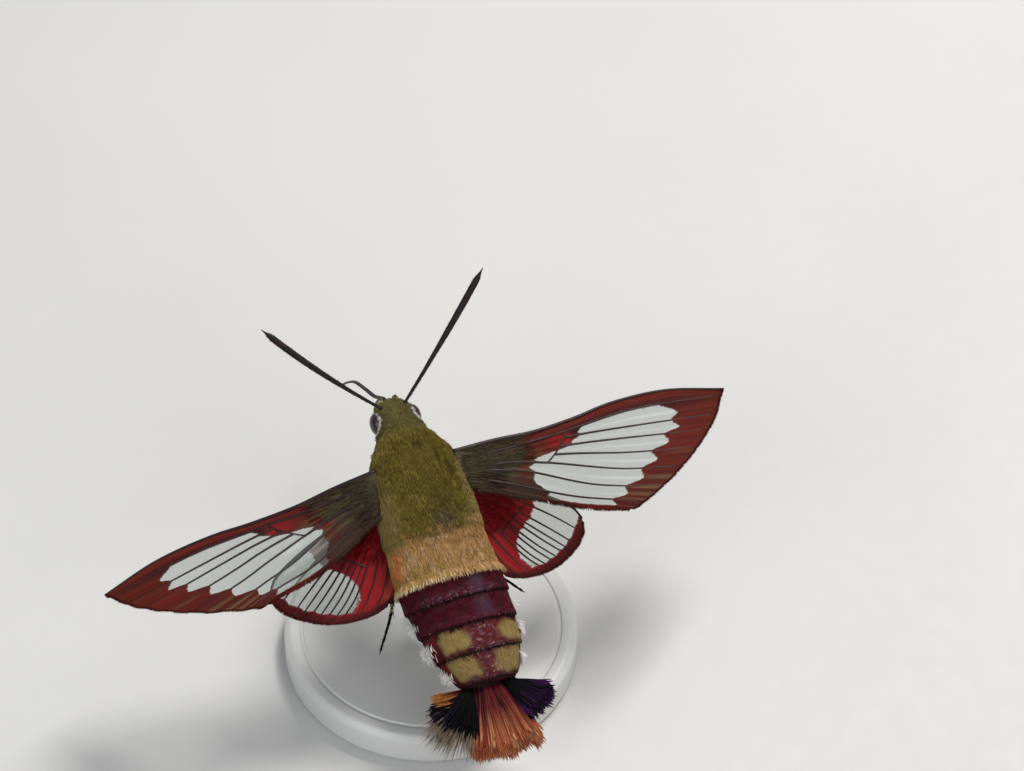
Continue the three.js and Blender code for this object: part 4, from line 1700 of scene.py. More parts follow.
HINDWING = WingPlan(
    "hindwing",
    12.6,
    (3.2, 0.9, -0.2),
    -0.3,
    (
        ((0, 0), (0.35, -0.04), (0.7, -0.05), (0.9, -0.025), (0.985, 0.03)),
        ((0, 0.035), (0.3, 0.025), (0.55, 0.045), (0.78, 0.08), (1.0, 0.13)),
        ((0, 0.06), (0.3, 0.075), (0.52, 0.12), (0.76, 0.175), (0.965, 0.23)),
        ((0, 0.08), (0.28, 0.115), (0.48, 0.19), (0.7, 0.265), (0.905, 0.32)),
        ((0, 0.1), (0.25, 0.155), (0.43, 0.25), (0.64, 0.345), (0.835, 0.4)),
        ((0, 0.12), (0.22, 0.19), (0.38, 0.3), (0.57, 0.41), (0.75, 0.468)),
        ((0, 0.14), (0.19, 0.225), (0.33, 0.345), (0.49, 0.455), (0.65, 0.525)),
        ((0, 0.16), (0.16, 0.265), (0.28, 0.39), (0.41, 0.495), (0.54, 0.564)),
        ((0, 0.19), (0.12, 0.31), (0.22, 0.42), (0.33, 0.52), (0.43, 0.578)),
    ),
    WingMarks(
        (0.6, 0.61, 0.59, 0.54, 0.51, 0.51, 0.6, 0.9, 0.9),
        (0.93, 0.93, 0.92, 0.92, 0.915, 0.91, 0.9, 0.86, 0.86),
        (-1.0, 2.6),
        0.012,
    ),
    9,
    80,
    0.11,
    (0, 1, 2, 2.5, 3, 3.5, 4, 4.5, 5, 6, 7),
)


@dataclass
class Wing:
    """One wing: a thin membrane with veins, hair at its root and a fringe at its edge.

    Attributes:
        plan: The lines and marks that both sides share.
        side: Which side it is on.
        pose: How it is held.
        half_thickness: Half the membrane's thickness.
        pleat: How far the membrane sags between its veins.
    """

    plan: WingPlan
    side: Side
    pose: WingPose
    half_thickness: float = 0.045
    pleat: float = 0.07

    @property
    def name(self) -> str:
        """The CAD node's name."""
        return f"{self.plan.name}_{self.side.name.lower()}"

    def flat(self, line: Array, share: Array) -> Array:
        """Places in the wing's plan.

        Args:
            line: Which line, from 0 at the leading edge to 8 at the trailing edge, and between.
            share: How far along it.

        Returns:
            Shares of the length along and back, one pair to a row.
        """
        stations = np.linspace(0, 1, 241)
        lines = [np.array([(*control, 0.0) for control in controls]) for controls in self.plan.lines]
        curves = np.stack([curve_at(controls, stations)[:, :2] for controls in lines])
        last = len(lines) - 1
        padded = np.concatenate([2 * curves[:1] - curves[1:2], curves, 2 * curves[-1:] - curves[-2:-1]])
        spot = np.clip(share, 0, 1) * 240
        low = np.minimum(spot.astype(int), 239)
        part = (spot - low)[:, None]
        start = np.clip(np.floor(line).astype(int), 0, last - 1)
        t = (line - start)[:, None]
        p0, p1, p2, p3 = (
            padded[start + k, low] * (1 - part) + padded[start + k, low + 1] * part for k in range(4)
        )
        return hermite(p1, p2, (p2 - p0) / 2, (p3 - p1) / 2, t)

    def raised(self, flat: Array, height: Array | float) -> tuple[Array, Array]:
        """Turns the plan's places into the moth's frame.

        Args:
            flat: Places in the plan.
            height: How far over the wing's middle surface.

        Returns:
            The points, and the way out of the wing's upper side.
        """
        lift, sweep, twist = (math.radians(a) for a in (self.pose.lift, self.pose.sweep, self.pose.twist))
        side = self.side.value
        outward = np.array([side * math.cos(lift), 0, math.sin(lift)])
        backward = np.array([0.0, -1.0, 0.0])
        along = outward * math.cos(sweep) + backward * math.sin(sweep)
        back = -outward * math.sin(sweep) + backward * math.cos(sweep)
        up = np.cross(back, along) * side
        s, c = flat[:, :1], flat[:, 1:2]
        turn = twist * smooth(s, 0, 0.5)
        chord = back * np.cos(turn) + up * np.sin(turn)
        normal = up * np.cos(turn) - back * np.sin(turn)
        start = np.array([side * self.plan.root[0], self.plan.root[1], self.plan.root[2]])
        size = self.plan.length
        height = np.broadcast_to(height, (len(flat),))[:, None]
        points = start + along * s * size + chord * c * size + normal * height + up * self.plan.bend * s**2
        return points, normal

    def half(self, line: Array, share: Array, flat: Array) -> Array:
        """Half the membrane's thickness: thin at its edges, and thick where it joins the body."""
        rim = np.minimum.reduce([line, 8 - line, (1 - share) * 40])
        root = 0.12 * (1 - smooth(flat[:, 0], 0, 0.12))
        return self.half_thickness * (0.3 + 0.7 * smooth(rim, 0, 0.4)) + root

    def sag(self, line: Array, share: Array) -> Array:
        """How far the membrane stands over or under the wing's middle surface."""
        return self.pleat * np.cos(TURN * line) * smooth(share, 0.02, 0.3)

    def cover(self, line: Array, share: Array, flat: Array) -> Array:
        """How far inside the scaled part each place is.

        Args:
            line: Which line.
            share: How far along it.
            flat: Its place in the plan.

        Returns:
            Above 0 in the scales, below 0 in the windows, about 1 for each millimetre.
        """
        marks = self.plan.marks
        index = np.arange(len(marks.starts))
        between = np.sin(math.pi * (line % 1)) ** 2
        start = np.interp(line, index, marks.starts) - 0.5 * marks.scallop * between
        end = np.interp(line, index, marks.ends) + marks.scallop * (between - 0.4)
        size = self.plan.length
        inner = (start - flat[:, 0]) * size
        outer = (share - end) * size
        strip = size * 0.035
        first = (marks.closed[0] - line) * strip
        last = (line - (len(index) - 1 - marks.closed[1])) * strip
        return np.clip(np.maximum.reduce([inner, outer, first, last]), -1, 1)

    def colour(self, line: Array, share: Array, flat: Array) -> Array:
        """The colour of the scales at each place.

        Args:
            line: Which line.
            share: How far along it.
            flat: Its place in the plan.

        Returns:
            Linear colours, one to a row.
        """
        at = np.concatenate([flat * self.plan.length, np.zeros((len(flat), 1))], 1)
        wobble = waves(at, 2.2, 81)
        rays = waves(np.stack([line * 2.0, share * 1.1, np.zeros_like(line)], -1), 0.9, 82)
        s = flat[:, 0]
        if self.plan is FOREWING:
            inner = within(line, 6.4, 8.2, 0.9) * within(s, 0.05, 0.34, 0.1)
            spot = within(line, 1.2, 3.0, 0.7) * within(s, 0.335, 0.425, 0.05)
            dark_end = within(line, 0.9, 3.3, 0.6) * within(s, 0.42, 0.46, 0.02)
            edge = smooth(share, 0.84, 0.93) * smooth(line, 3.5, 5.5)
            colour = Tone.WING_RED
            layers = (
                (Tone.WING_OLIVE, 1 - smooth(s + 0.02 * wobble + 0.02 * rays, 0.16, 0.32)),
                (Tone.WING_DARK, 0.7 * within(line, 0.55, 1.3, 0.5) * smooth(s, 0.25, 0.5)),
                (Tone.WING_DARK, 0.75 * inner),
                (Tone.WING_SPOT, 0.9 * spot),
                (Tone.WING_DARK, 0.8 * dark_end),
                (Tone.WING_TIP, 0.8 * smooth(s, 0.78, 0.98)),
                (Tone.WING_DARK, 0.45 * edge),
                (Tone.HIND_STRAW, 0.35 * edge * smooth(rays, 0.6, 1.6)),
            )
        else:
            colour = Tone.HIND_RED
            layers = (
                (Tone.HIND_BROWN, 0.8 * smooth(line, 6.6, 7.8)),
                (Tone.WING_DARK, 0.6 * smooth(-rays, 0.5, 1.6)),
                (Tone.HIND_BROWN, 0.35 * smooth(rays, 0.6, 1.7)),
                (Tone.HIND_STRAW, 0.3 * (1 - smooth(line, 0.3, 0.9)) * smooth(s, 0.2, 0.5)),
                (Tone.WING_DARK, 0.75 * smooth(share, 0.9, 0.96)),
                (Tone.BURGUNDY_DARK, 0.7 * smooth(share, 0.8, 0.95) * smooth(line, 6.2, 7.4)),
            )
        for tone, part in layers:
            colour = blend(colour, tone, part)
        return blend(colour, colour * 0.5, 0.5 * smooth(rays, 0.3, 1.5))

    def build_membrane(self) -> Surface:
        """The membrane, closed all round.

        Returns:
            Its surface, with colours and cover.
        """
        plan = self.plan
        lines = np.linspace(0, len(plan.lines) - 1, (len(plan.lines) - 1) * plan.across_steps + 1)
        shares = np.linspace(0, 1, plan.along_steps)
        rows, columns = len(shares), len(lines)
        line, share = np.tile(lines, rows), np.repeat(shares, columns)
        flat = self.flat(line, share)
        half = self.half(line, share, flat)
        sag = self.sag(line, share)
        over, under = (self.raised(flat, sag + sign * half)[0] for sign in (1, -1))
        count = len(line)
        faces = grid_faces(rows, columns)
        edge = np.concatenate([
            np.arange(columns),
            np.arange(1, rows) * columns + columns - 1,
            (rows - 1) * columns + np.arange(columns - 2, -1, -1),
            np.arange(rows - 2, 0, -1) * columns,
        ])
        following = np.roll(edge, -1)
        wall = np.stack([edge, following, following + count, edge + count], -1)
        kinds = [faces[:, ::-1], faces + count, wall]
        if self.side is Side.LEFT:
            kinds = [kind[:, ::-1] for kind in kinds]
        lie = np.stack([line * 1.1, share * 0.9, np.zeros_like(line)], -1)
        values = (self.colour(line, share, flat), self.cover(line, share, flat), lie)
        colour, cover, lie = (np.concatenate([part, part]) for part in values)
        return Surface(np.vstack([over, under]), kinds, colour, {"cover": cover, "lie": lie})

    def build_veins(self) -> Surface:
        """The veins, which stand out on both faces and thin towards the edge.

        Returns:
            Their surface.
        """
        made = []
        radius, steps = self.plan.vein_radius, 60
        for line in self.plan.veins:
            outer = line in (2, 3, 4) or line % 1
            shares = np.linspace(0.47 if outer else 0.0, 0.985 if line else 1.0, steps)
            lines = np.full(steps, float(line))
            flat = self.flat(lines, shares)
            path = self.raised(flat, self.sag(lines, shares))[0]
            widths = radius * (1.15 - 0.6 * shares) * (1.5 if line == 0 else 1.0)
            made.append(tube(path, widths, 8, 0.9))
        lines = np.linspace(1, 5, 40)
        flat = self.flat(lines, 0.5 - 0.035 * np.sin((lines - 1) / 4 * math.pi))
        flat = np.stack([np.polyval(np.polyfit(lines, flat[:, axis], 2), lines) for axis in (0, 1)], -1)
        path = self.raised(flat, self.pleat)[0]
        made.append(tube(path, np.full(40, radius * 0.6), 8, 0.9))
        return joined(made)

    def hairs(
        self, tuft: Tuft, line: Array, share: Array, upper: Array, seed: int,
        outwards: bool = False, tone: Array | None = None,
    ) -> Surface:
        """Grows hairs from the wing.

        Args:
            tuft: The kind of hair.
            line: Their lines.
            share: Their places along them.
            upper: True for those on the upper side.
            seed: The seed of their variation.
            outwards: Whether they point over the rear edge, not along their line.
            tone: Their colour, or None for the wing's own.

        Returns:
            The hairs.
        """
        flat = self.flat(line, share)
        sag = self.sag(line, share)
        points, normal = self.raised(flat, sag)
        step = 2 * flat - self.flat(line - 0.02 * outwards, share - 0.004 * (not outwards))
        ahead = self.raised(step, sag)[0]
        sign = np.where(upper, 1.0, -1.0)[:, None]
        colours = self.colour(line, share, flat) if tone is None else np.broadcast_to(tone, points.shape)
        unwrap = np.stack([0.02 + flat[:, 0] * 0.94, 0.06 + flat[:, 1] * 0.75], -1)
        roots = points + normal * sign * self.half(line, share, flat)[:, None] * 0.9
        return tuft.grow(roots, ahead - points, normal * sign, colours, unwrap, seed)

    def build_hairs(self) -> Surface:
        """The hair at the root and along the inner edge, and the fringe.

        Returns:
            All of it.
        """
        rng = np.random.default_rng(83)
        base = coat_count(1500)
        reach = 0.3 if self.plan is FOREWING else 0.36
        line = rng.uniform(0.1, 7.95, base)
        share = reach * rng.uniform(0.05, 1, base)
        made = [self.hairs(Tuft(1.3, 0.08, 7, 0.04, 7), line, share, rng.uniform(size=base) < 0.65, 84)]
        edge = coat_count(1500)
        line = rng.uniform(0.2, 8, edge)
        share = np.full(edge, 0.992)
        fringe = Tuft(0.3, 0.05, 2, 0.0, 9, 0.7, 1.2)
        dark = blend(Tone.WING_DARK, Tone.WING_RED, rng.uniform(0, 0.9, edge))
        made.append(self.hairs(fringe, line, share, rng.uniform(size=edge) < 0.5, 85, tone=dark))
        rear = coat_count(1200)
        share = rng.uniform(0.12, 0.99, rear)
        line = 8 - 0.12 * rng.uniform(0, 1, rear)
        long = Tuft(0.45 if self.plan is FOREWING else 0.8, 0.07, 4, 0.0, 12, 0.7, 1.2)
        made.append(self.hairs(long, line, share, rng.uniform(size=rear) < 0.5, 86, outwards=True))
        return joined(made)

    def build(self) -> None:
        """Shows the wing."""
        Piece(self.name + "_membrane", "wing_membrane", (self.name,)).show(self.build_membrane(), MEMBRANE)
        Piece(self.name + "_veins", "dark_horn").show(self.build_veins(), VEIN_HORN)
        show_coat(self.name + "_hair", "wing_membrane", self.build_hairs())


# ---- legs, tail, stand and studio


class LegPair(Enum):
    """The three pairs of legs."""

    FRONT = "front"
    MIDDLE = "middle"
    HIND = "hind"


@dataclass
class Leg:
    """One leg: thigh, shin with spurs, a foot of five short joints, and two claws.

    Attributes:
        pair: Which pair it belongs to.
        side: Which side it is on.
        joints: Hip, knee, ankle and toe, as on the right.
        steps: How many points its middle line has.
        scales: How many scales it has.
    """

    pair: LegPair
    side: Side
    joints: tuple[Point, ...]
    steps: int = 260
    scales: int = 800

    @property
    def name(self) -> str:
        """The CAD node's name."""
        return f"leg_{self.pair.value}_{self.side.name.lower()}"

    def path(self) -> Array:
        """The leg's middle line, bent as the CAD solid is.

        Returns:
            Its points.
        """
        hip, knee, ankle, toe = (np.array(j) * [self.side.value, 1, 1] for j in self.joints)
        near = [hip + (knee - hip) * 0.85, knee + (ankle - knee) * 0.15]
        near += [knee + (ankle - knee) * 0.88, ankle + (toe - ankle) * 0.15]
        return even_path(np.array([hip + (hip - knee) * -0.02, *near, toe]), self.steps)

    def build(self) -> tuple[Surface, Array, Array]:
        """The leg's hard parts.

        Returns:
            Its surface, the middle line of the leg and the radius along it.
        """
        path = self.path()
        last = self.steps - 1
        ends = [np.array(j) * [self.side.value, 1, 1] for j in self.joints]
        knee, ankle = (np.argmin(np.linalg.norm(path - end, axis=1)) / last for end in ends[1:3])
        u = np.linspace(0, 1, self.steps)
        thigh, shin, foot = u / knee, (u - knee) / (ankle - knee), (u - ankle) / (1 - ankle)
        radii = np.where(
            u < knee,
            0.2 + 0.14 * np.sin(math.pi * np.clip(thigh, 0, 1) ** 0.8),
            np.where(
                u < ankle,
                0.15 + 0.06 * np.sin(math.pi * np.clip(shin, 0, 1)) + 0.02 * shin,
                0.115 - 0.035 * foot - 0.025 * np.abs(np.cos(math.pi * 5 * foot)) ** 8,
            ),
        )
        radii *= 1 - 0.25 * np.exp(-(((u - knee) / 0.012) ** 2))
        made = [tube(path, radii, 14)]
        at_ankle = path[int(ankle * last)]
        forward = unit(at_ankle - path[int(ankle * last) - 12])
        for lean in (-0.35, 0.35):
            aim = unit(forward + np.array([lean * 0.8, 0.1, -0.35]))
            tip = at_ankle + aim * 0.95 + forward * 0.1
            spur = even_path(np.array([at_ankle, at_ankle + aim * 0.5, tip]), 14)
            made.append(tube(spur, 0.075 * (1 - 0.85 * np.linspace(0, 1, 14)), 8))
        toe, ahead = path[-1], unit(path[-1] - path[-8])
        for lean in (-1, 1):
            middle = toe + ahead * 0.12 + [lean * 0.06, 0, 0.02]
            hook = np.array([toe - ahead * 0.05, middle, toe + ahead * 0.2 + [lean * 0.09, 0, -0.1]])
            made.append(tube(even_path(hook, 10), 0.035 * (1 - 0.8 * np.linspace(0, 1, 10)), 6))
        return joined(made), path, radii

    def build_coat(self, path: Array, radii: Array) -> Surface:
        """The leg's scales, longest on the thigh.

        Args:
            path: The leg's middle line.
            radii: Its radius along that line.

        Returns:
            The scales.
        """
        seed = 300 + 10 * list(LegPair).index(self.pair) + self.side.value
        rng = np.random.default_rng(seed)
        count = coat_count(self.scales)
        rows = rng.integers(2, len(path) - 6, count)
        turn = rng.uniform(0, TURN, count)
        along = unit(path[rows + 3] - path[rows - 2])
        first = unit(np.cross(along, np.array([0.31, 0.2, 0.93])))
        outward = first * np.cos(turn)[:, None] + np.cross(along, first) * np.sin(turn)[:, None]
        roots = path[rows] + outward * radii[rows, None] * 0.95
        lengths = np.interp(rows / len(path), [0, 0.35, 0.5, 1], [1.5, 1.1, 0.8, 0.45])
        if self.pair is LegPair.FRONT:
            tones = blend(Tone.CREAM, Tone.TAN, rng.uniform(0, 0.7, count))
        else:
            tones = blend(Tone.BLACK, Tone.WING_DARK, rng.uniform(0, 1, count))
            pale = within(rows / len(path), 0.62, 0.68, 0.02) * (rng.uniform(size=count) < 0.8)
            tones = blend(tones, Tone.CREAM, pale * 0.8)
        unwrap = np.stack([turn / TURN * 0.98 + 0.01, rows / len(path) * 0.98 + 0.01], -1)
        scale = Tuft(0.34, 0.07, 14, 0.15, 9, 0.7, 1.2)
        return scale.grow(roots, along, outward, tones, unwrap, seed + 1, lengths)

    def build_all(self) -> None:
        """Shows the leg."""
        pale = self.pair is LegPair.FRONT
        slot = "pale_scales" if pale else "dark_horn"
        surface, path, radii = self.build()
        Piece(self.name + "_limb", slot, (self.name,)).show(surface, PALE_HORN if pale else LEG_HORN)
        show_coat(self.name + "_scales", slot, self.build_coat(path, radii))


@dataclass(frozen=True)
class Brush:
    """One brush of long flat scales at the tail.

    Attributes:
        name: The piece's name.
        slot: Its material slot.
        vane: The kind of scale.
        count: How many it has.
        angles: The way it spreads, in degrees: 0 to the rear and + to the right.
        x: Its root's middle.
        half_width: Half the root's width.
        half_height: Half the root's height.
        roots: The colours at the root.
        tips: The colours at the tip.
        tilt: How far it points up, as a slope.
        back: How far behind the tail's front its roots start.
    """

    name: str
    slot: str
    vane: Tuft
    count: int
    angles: Pair
    x: float
    half_width: float
    half_height: float
    roots: tuple[Tone, ...]
    tips: tuple[Tone, ...]
    tilt: float = 0.0
    back: float = 0.0


VANE = {"breadths": (0.6, 1.0, 0.75), "stops": (0.0, 0.4, 0.93), "vary": 0.1}


@dataclass
class Tail:
    """The rufous fan and the black tufts beside it.

    Attributes:
        x: How far the tail stands to the right.
        front: Where its roots begin.
        z: Its middle's height.
        brushes: Its brushes.
    """

    x: float = 0.7
    front: float = -16.5
    z: float = -0.05
    brushes: tuple[Brush, ...] = (
        Brush(
            "tail_fan_scales", "tail_scales",
            Tuft(5.1, 0.12, 2, 0.01, 2.2, 0.85, 1.08, **VANE),
            5500, (-17, 24), 0.05, 1.25, 1.15,
            (Tone.BURGUNDY_DARK, Tone.BURGUNDY, Tone.RED_BROWN),
            (Tone.RUFOUS, Tone.RUFOUS_LIGHT, Tone.RUFOUS_RED, Tone.RUFOUS),
        ),
        Brush(
            "tail_left_scales", "black_scales",
            Tuft(3.4, 0.12, 3, 0.03, 5, 0.8, 1.1, **VANE),
            1700, (-80, -4), -1.45, 0.65, 0.75,
            (Tone.BLACK,), (Tone.BLACK, Tone.BLACK, Tone.BLACK_PURPLE),
        ),
        Brush(
            "tail_left_hairs", "black_scales",
            Tuft(4.7, 0.07, 4, 0.04, 6, 0.8, 1.2, **LONG, vary=0.2),
            650, (-64, -8), -1.55, 0.6, 0.55,
            (Tone.BLACK,), (Tone.GREY_HAIR,), -0.04, 0.1,
        ),
        Brush(
            "tail_left_streak", "tail_scales",
            Tuft(2.9, 0.08, 3, 0.05, 3, 0.9, 1.1, **VANE),
            150, (-98, -88), -1.7, 0.25, 0.2,
            (Tone.RED_BROWN,), (Tone.ORANGE,), 0.02, -0.1,
        ),
        Brush(
            "tail_left_root", "pale_scales",
            Tuft(1.0, 0.08, 20, 0.1, 12, 0.9, 1.1, **LONG),
            160, (-34, -6), -1.15, 0.3, 0.1,
            (Tone.WHITE,), (Tone.WHITE,), 0.35, 0.0,
        ),
        Brush(
            "tail_right_scales", "black_scales",
            Tuft(3.4, 0.12, 3, 0.03, 4, 0.8, 1.1, **VANE),
            1700, (33, 72), 1.75, 0.6, 0.8,
            (Tone.BLACK,), (Tone.PURPLE, Tone.BLACK, Tone.BLACK, Tone.BLACK_PURPLE),
        ),
        Brush(
            "tail_right_tips", "black_scales",
            Tuft(3.3, 0.08, 3, 0.02, 2, 0.9, 1.2, **VANE),
            200, (33, 42), 1.6, 0.25, 0.4,
            (Tone.PURPLE,), (Tone.PURPLE, Tone.WHITE), 0.02,
        ),
    )

    def grow(self, brush: Brush, seed: int) -> Surface:
        """Makes a brush's scales.

        Args:
            brush: The brush.
            seed: The seed of its variation.

        Returns:
            The scales.
        """
        rng = np.random.default_rng(seed)
        count = coat_count(brush.count)
        lateral = rng.uniform(-1, 1, count)
        vertical = rng.uniform(-1, 1, count) * np.sqrt(1 - 0.7 * lateral**2)
        low, high = np.radians(brush.angles)
        angle = low + (high - low) * (lateral + 1) / 2
        along = np.stack([np.sin(angle), -np.cos(angle), brush.tilt - 0.1 * vertical], -1)
        setback = rng.uniform(0, 0.9, count) + 0.5 * (1 - np.abs(vertical))
        roots = np.stack([
            self.x + brush.x + brush.half_width * lateral,
            self.front - brush.back - setback,
            self.z + brush.half_height * vertical * 0.95,
        ], -1)
        outward = np.stack([0.25 * lateral, np.zeros(count), np.where(vertical >= 0, 1.0, -1.0)], -1)
        bands = waves(np.stack([angle * 6, vertical, np.zeros(count)], -1), 1.4, seed + 1)
        pick = rng.integers(0, len(brush.roots), count)
        base = np.array([tone.linear for tone in brush.roots])[pick]
        order = np.clip((bands + 1.4) / 2.8 + 0.25 * rng.normal(size=count), 0, 0.999)
        ends = np.array([tone.linear for tone in brush.tips])[(order * len(brush.tips)).astype(int)]
        lengths = 1 - 0.1 * np.abs(lateral) ** 2 + 0.04 * waves(angle[:, None] * [9, 0, 0], 1.0, seed + 2)
        unwrap = np.stack([0.06 + 0.88 * (lateral + 1) / 2, 0.06 + 0.88 * (vertical + 1) / 2], -1)
        return brush.vane.grow(roots, along, outward, base, unwrap, seed + 3, lengths, ends)

    def build(self) -> None:
        """Shows the tail."""
        places = ((self.x * 0.94, 1.2), (self.x, -0.4), (self.x + 0.2, -2.2))
        path = even_path(np.array([[x, self.front + ahead, self.z] for x, ahead in places]), 30)
        core = tube(path, np.interp(np.linspace(0, 1, 30), [0, 0.4, 1], [1.3, 1.35, 0.35]), 40, 0.9)
        core.coloured(Tone.BURGUNDY_DARK.linear)
        core.values = {"lie": core.points * [1, 0.2, 1]}
        replaced = ("tail_fan", "tail_tuft_left", "tail_tuft_right")
        Piece("tail_core", "tail_scales", replaced).show(core, SKIN)
        for index, brush in enumerate(self.brushes):
            show_coat(brush.name, brush.slot, self.grow(brush, 400 + 10 * index))


def rounded(corners: list[Point], steps: int = 6) -> list[Pair]:
    """Rounds the corners of a profile.

    Args:
        corners: Radius, height and rounding of each corner.
        steps: How many points a rounding has.

    Returns:
        Radius and height pairs.
    """
    made = [corners[0][:2]]
    for before, corner, after in zip(corners, corners[1:], corners[2:]):
        middle = np.array(corner[:2])
        if corner[2] == 0:
            made.append(tuple(middle))
            continue
        start = middle + unit(np.array(before[:2]) - middle) * corner[2]
        end = middle + unit(np.array(after[:2]) - middle) * corner[2]
        for t in np.linspace(0, 1, steps):
            made.append(tuple(start * (1 - t) ** 2 + 2 * middle * t * (1 - t) + end * t**2))
    return [*made, corners[-1][:2]]


@dataclass
class Stand:
    """The round base and the rod that holds the moth.

    Attributes:
        radius: The base's radius.
        thickness: Its thickness.
        rod_radius: The rod's radius.
        pin_radius: The radius of the pin on it, which goes into the belly.
        pin_length: How far the pin reaches over the rod's CAD solid.
    """

    radius: float = 12.5
    thickness: float = 3.0
    rod_radius: float = 1.0
    pin_radius: float = 0.45
    pin_length: float = 0.9

    def build_base(self) -> Surface:
        """The base, with a fine groove round it and a collar for the rod.

        Returns:
            Its surface.
        """
        r, t, rod = self.radius, self.thickness, self.rod_radius
        return turned(rounded([
            (0, 0, 0), (r - 0.25, 0, 0.1), (r, 0.25, 0.1), (r, t - 0.5, 0.2), (r - 0.5, t, 0.2),
            (r - 1.3, t, 0.05), (r - 1.42, t - 0.14, 0.04), (r - 1.58, t - 0.14, 0.04), (r - 1.7, t, 0.05),
            (rod + 1.3, t, 0.5), (rod + 0.85, t + 0.75, 0.25), (rod + 0.15, t + 0.8, 0.1),
            (rod + 0.1, t + 0.2, 0.05), (0, t + 0.2, 0),
        ]), 160)

    def build_rod(self) -> Surface:
        """The rod, necked down to a pin at its top.

        Returns:
            Its surface.
        """
        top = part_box("stand_rod")[1].z / MM
        r, pin = self.rod_radius, self.pin_radius
        return turned(rounded([
            (0, self.thickness + 0.15, 0), (r, self.thickness + 0.15, 0.05), (r, top - 1.5, 0.3),
            (pin, top - 0.5, 0.3), (pin, top + self.pin_length, 0.1), (0, top + self.pin_length, 0),
        ]), 64)

    def build(self) -> None:
        """Shows base and rod."""
        base = Piece("stand_base_turned", "stand_paint", ("stand_base",))
        base.show(self.build_base(), STAND_PAINT, StandPlace())
        rod = Piece("stand_rod_turned", "stand_steel", ("stand_rod",))
        rod.show(self.build_rod(), STAND_STEEL, StandPlace())


@dataclass(frozen=True)
class Lamp:
    """A soft square light.

    Attributes:
        name: Its name.
        at: Where it is, in metres.
        size: How wide it is.
        power: Its power in watts.
        colour: Its colour.
    """

    name: str
    at: Point
    size: float
    power: float
    colour: Point = (1.0, 1.0, 1.0)


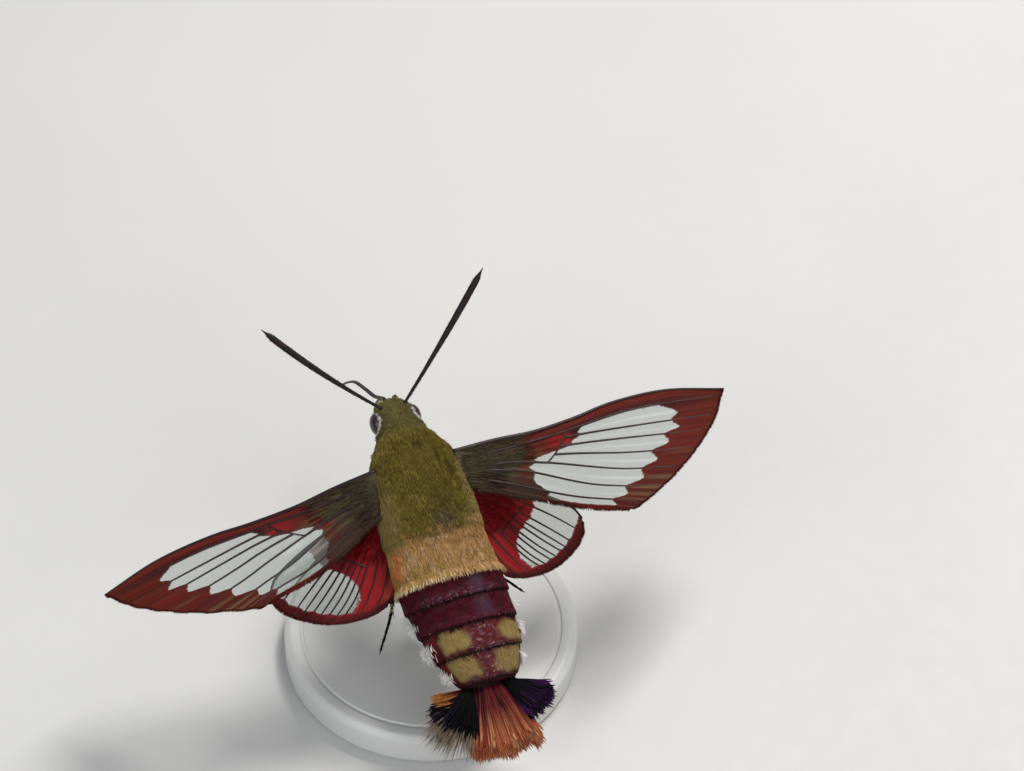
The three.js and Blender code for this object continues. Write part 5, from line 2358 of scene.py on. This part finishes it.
@dataclass
class Studio:
    """Floor, lights and camera.

    Attributes:
        target: What the camera looks at, in millimetres.
        azimuth: The camera's bearing in degrees.
        elevation: Its height over the horizon in degrees.
        distance: How far it is, in millimetres.
        per_mm: How many pixels a millimetre has at the target.
        target_pixel: Where the target is in the image.
        sensor: The camera's sensor width in millimetres.
        sky: The sky's colour.
        sky_power: Its strength.
        floor_size: The floor's radius and thickness in millimetres.
    """

    target: Point = (0.0, 2.0, 17.5)
    azimuth: float = -19.0
    elevation: float = 48.0
    distance: float = 450.0
    per_mm: float = 12.0
    target_pixel: Pair = (421.5, 497.0)
    sensor: float = 36.0
    sky: Rgba = (0.9, 0.94, 1.0, 1.0)
    sky_power: float = 0.24
    floor_size: Pair = (900, 20)
    lamps: tuple[Lamp, ...] = (
        Lamp("key_light", (0.16, 0.1, 0.36), 0.14, 1.6, (1.0, 0.98, 0.94)),
        Lamp("fill_light", (-0.34, -0.2, 0.3), 0.3, 0.85, (0.93, 0.97, 1.0)),
        Lamp("front_light", (0.1, -0.4, 0.22), 0.3, 0.6),
    )

    def build_floor(self) -> None:
        """A plain pale floor."""
        radius, depth = self.floor_size
        floor = turned([(0, -depth), (radius, -depth), (radius, -0.02), (0, -0.02)], 96)
        mesh = bpy.data.meshes.new("floor")
        points = StandPlace().world(floor.points)
        mesh.from_pydata(points.tolist(), [], [face for faces in floor.faces for face in faces.tolist()])
        mesh.materials.append(FLOOR_PAINT.material())
        piece = bpy.data.objects.new("floor", mesh)
        bpy.context.scene.collection.objects.link(piece)

    def build_lights(self) -> None:
        """Soft lamps round the model and an even sky."""
        for lamp in self.lamps:
            data = bpy.data.lights.new(lamp.name, "AREA")
            data.size = lamp.size
            data.energy = lamp.power
            data.color = lamp.colour
            light = bpy.data.objects.new(lamp.name, data)
            light.location = lamp.at
            aim = Vector([part * MM for part in self.target]) - light.location
            light.rotation_euler = aim.to_track_quat("-Z", "Y").to_euler()
            bpy.context.scene.collection.objects.link(light)
        world = bpy.data.worlds.new("studio_sky")
        world.use_nodes = True
        background = world.node_tree.nodes["Background"]
        background.inputs["Color"].default_value = self.sky
        background.inputs["Strength"].default_value = self.sky_power
        bpy.context.scene.world = world

    def build_camera(self) -> None:
        """The camera, at the photograph's angle and framing."""
        a, e = math.radians(self.azimuth), math.radians(self.elevation)
        away = Vector((math.sin(a) * math.cos(e), -math.cos(a) * math.cos(e), math.sin(e)))
        right = Vector((0, 0, 1)).cross(away).normalized()
        up = away.cross(right)
        offset = [(IMAGE_SIZE[0] / 2 - self.target_pixel[0]) / self.per_mm]
        offset.append((self.target_pixel[1] - IMAGE_SIZE[1] / 2) / self.per_mm)
        data = bpy.data.cameras.new("photo_camera")
        data.sensor_width = self.sensor
        data.lens = self.sensor * self.distance / (IMAGE_SIZE[0] / self.per_mm)
        data.clip_start, data.clip_end = 0.01, 10.0
        camera = bpy.data.objects.new("photo_camera", data)
        place = Vector(self.target) + right * offset[0] + up * offset[1] + away * self.distance
        camera.location = place * MM
        camera.rotation_euler = (-away).to_track_quat("-Z", "Y").to_euler()
        bpy.context.scene.collection.objects.link(camera)
        bpy.context.scene.camera = camera

    def build(self) -> None:
        """Sets up the studio, with colours shown as they are."""
        self.build_floor()
        self.build_lights()
        self.build_camera()
        bpy.context.scene.view_settings.view_transform = "Standard"


WING_POSES = {
    (FOREWING, Side.RIGHT): WingPose(-7, -0.2, 18),
    (FOREWING, Side.LEFT): WingPose(-11.6, 8.1, 37),
    (HINDWING, Side.RIGHT): WingPose(-20, 24, 0),
    (HINDWING, Side.LEFT): WingPose(-6, 24, 0),
}
FRONT_LEG = ((1.2, 3.2, -2.6), (2.1, 5.4, -4.7), (1.6, 3.0, -5.7), (1.2, 0.2, -6.1))
MIDDLE_LEG = ((1.7, 0.8, -2.9), (3.3, 2.0, -5.3), (3.4, -1.6, -6.0), (2.9, -5.2, -5.7))
LEG_JOINTS = {
    (LegPair.FRONT, Side.RIGHT): FRONT_LEG,
    (LegPair.FRONT, Side.LEFT): FRONT_LEG,
    (LegPair.MIDDLE, Side.RIGHT): MIDDLE_LEG,
    (LegPair.MIDDLE, Side.LEFT): MIDDLE_LEG,
    (LegPair.HIND, Side.RIGHT): ((1.8, -1.6, -2.9), (3.4, -2.8, -5.1), (5.0, -6.6, -5.0), (7.0, -9.2, -4.6)),
    (LegPair.HIND, Side.LEFT): ((1.8, -1.6, -2.9), (3.2, -2.8, -5.1), (4.0, -7.6, -4.9), (6.2, -11.1, -4.5)),
}


def main() -> None:
    """Builds the moth, its stand and the studio, in order."""
    logging.basicConfig(level=logging.INFO, format="%(name)s %(message)s", stream=sys.stdout)
    body = Body()
    body.build()
    Head(body).build()
    for (plan, side), pose in WING_POSES.items():
        Wing(plan, side, pose).build()
    for (pair, side), joints in LEG_JOINTS.items():
        Leg(pair, side, joints).build_all()
    Tail().build()
    Stand().build()
    Studio().build()


if __name__ == "__main__":
    main()
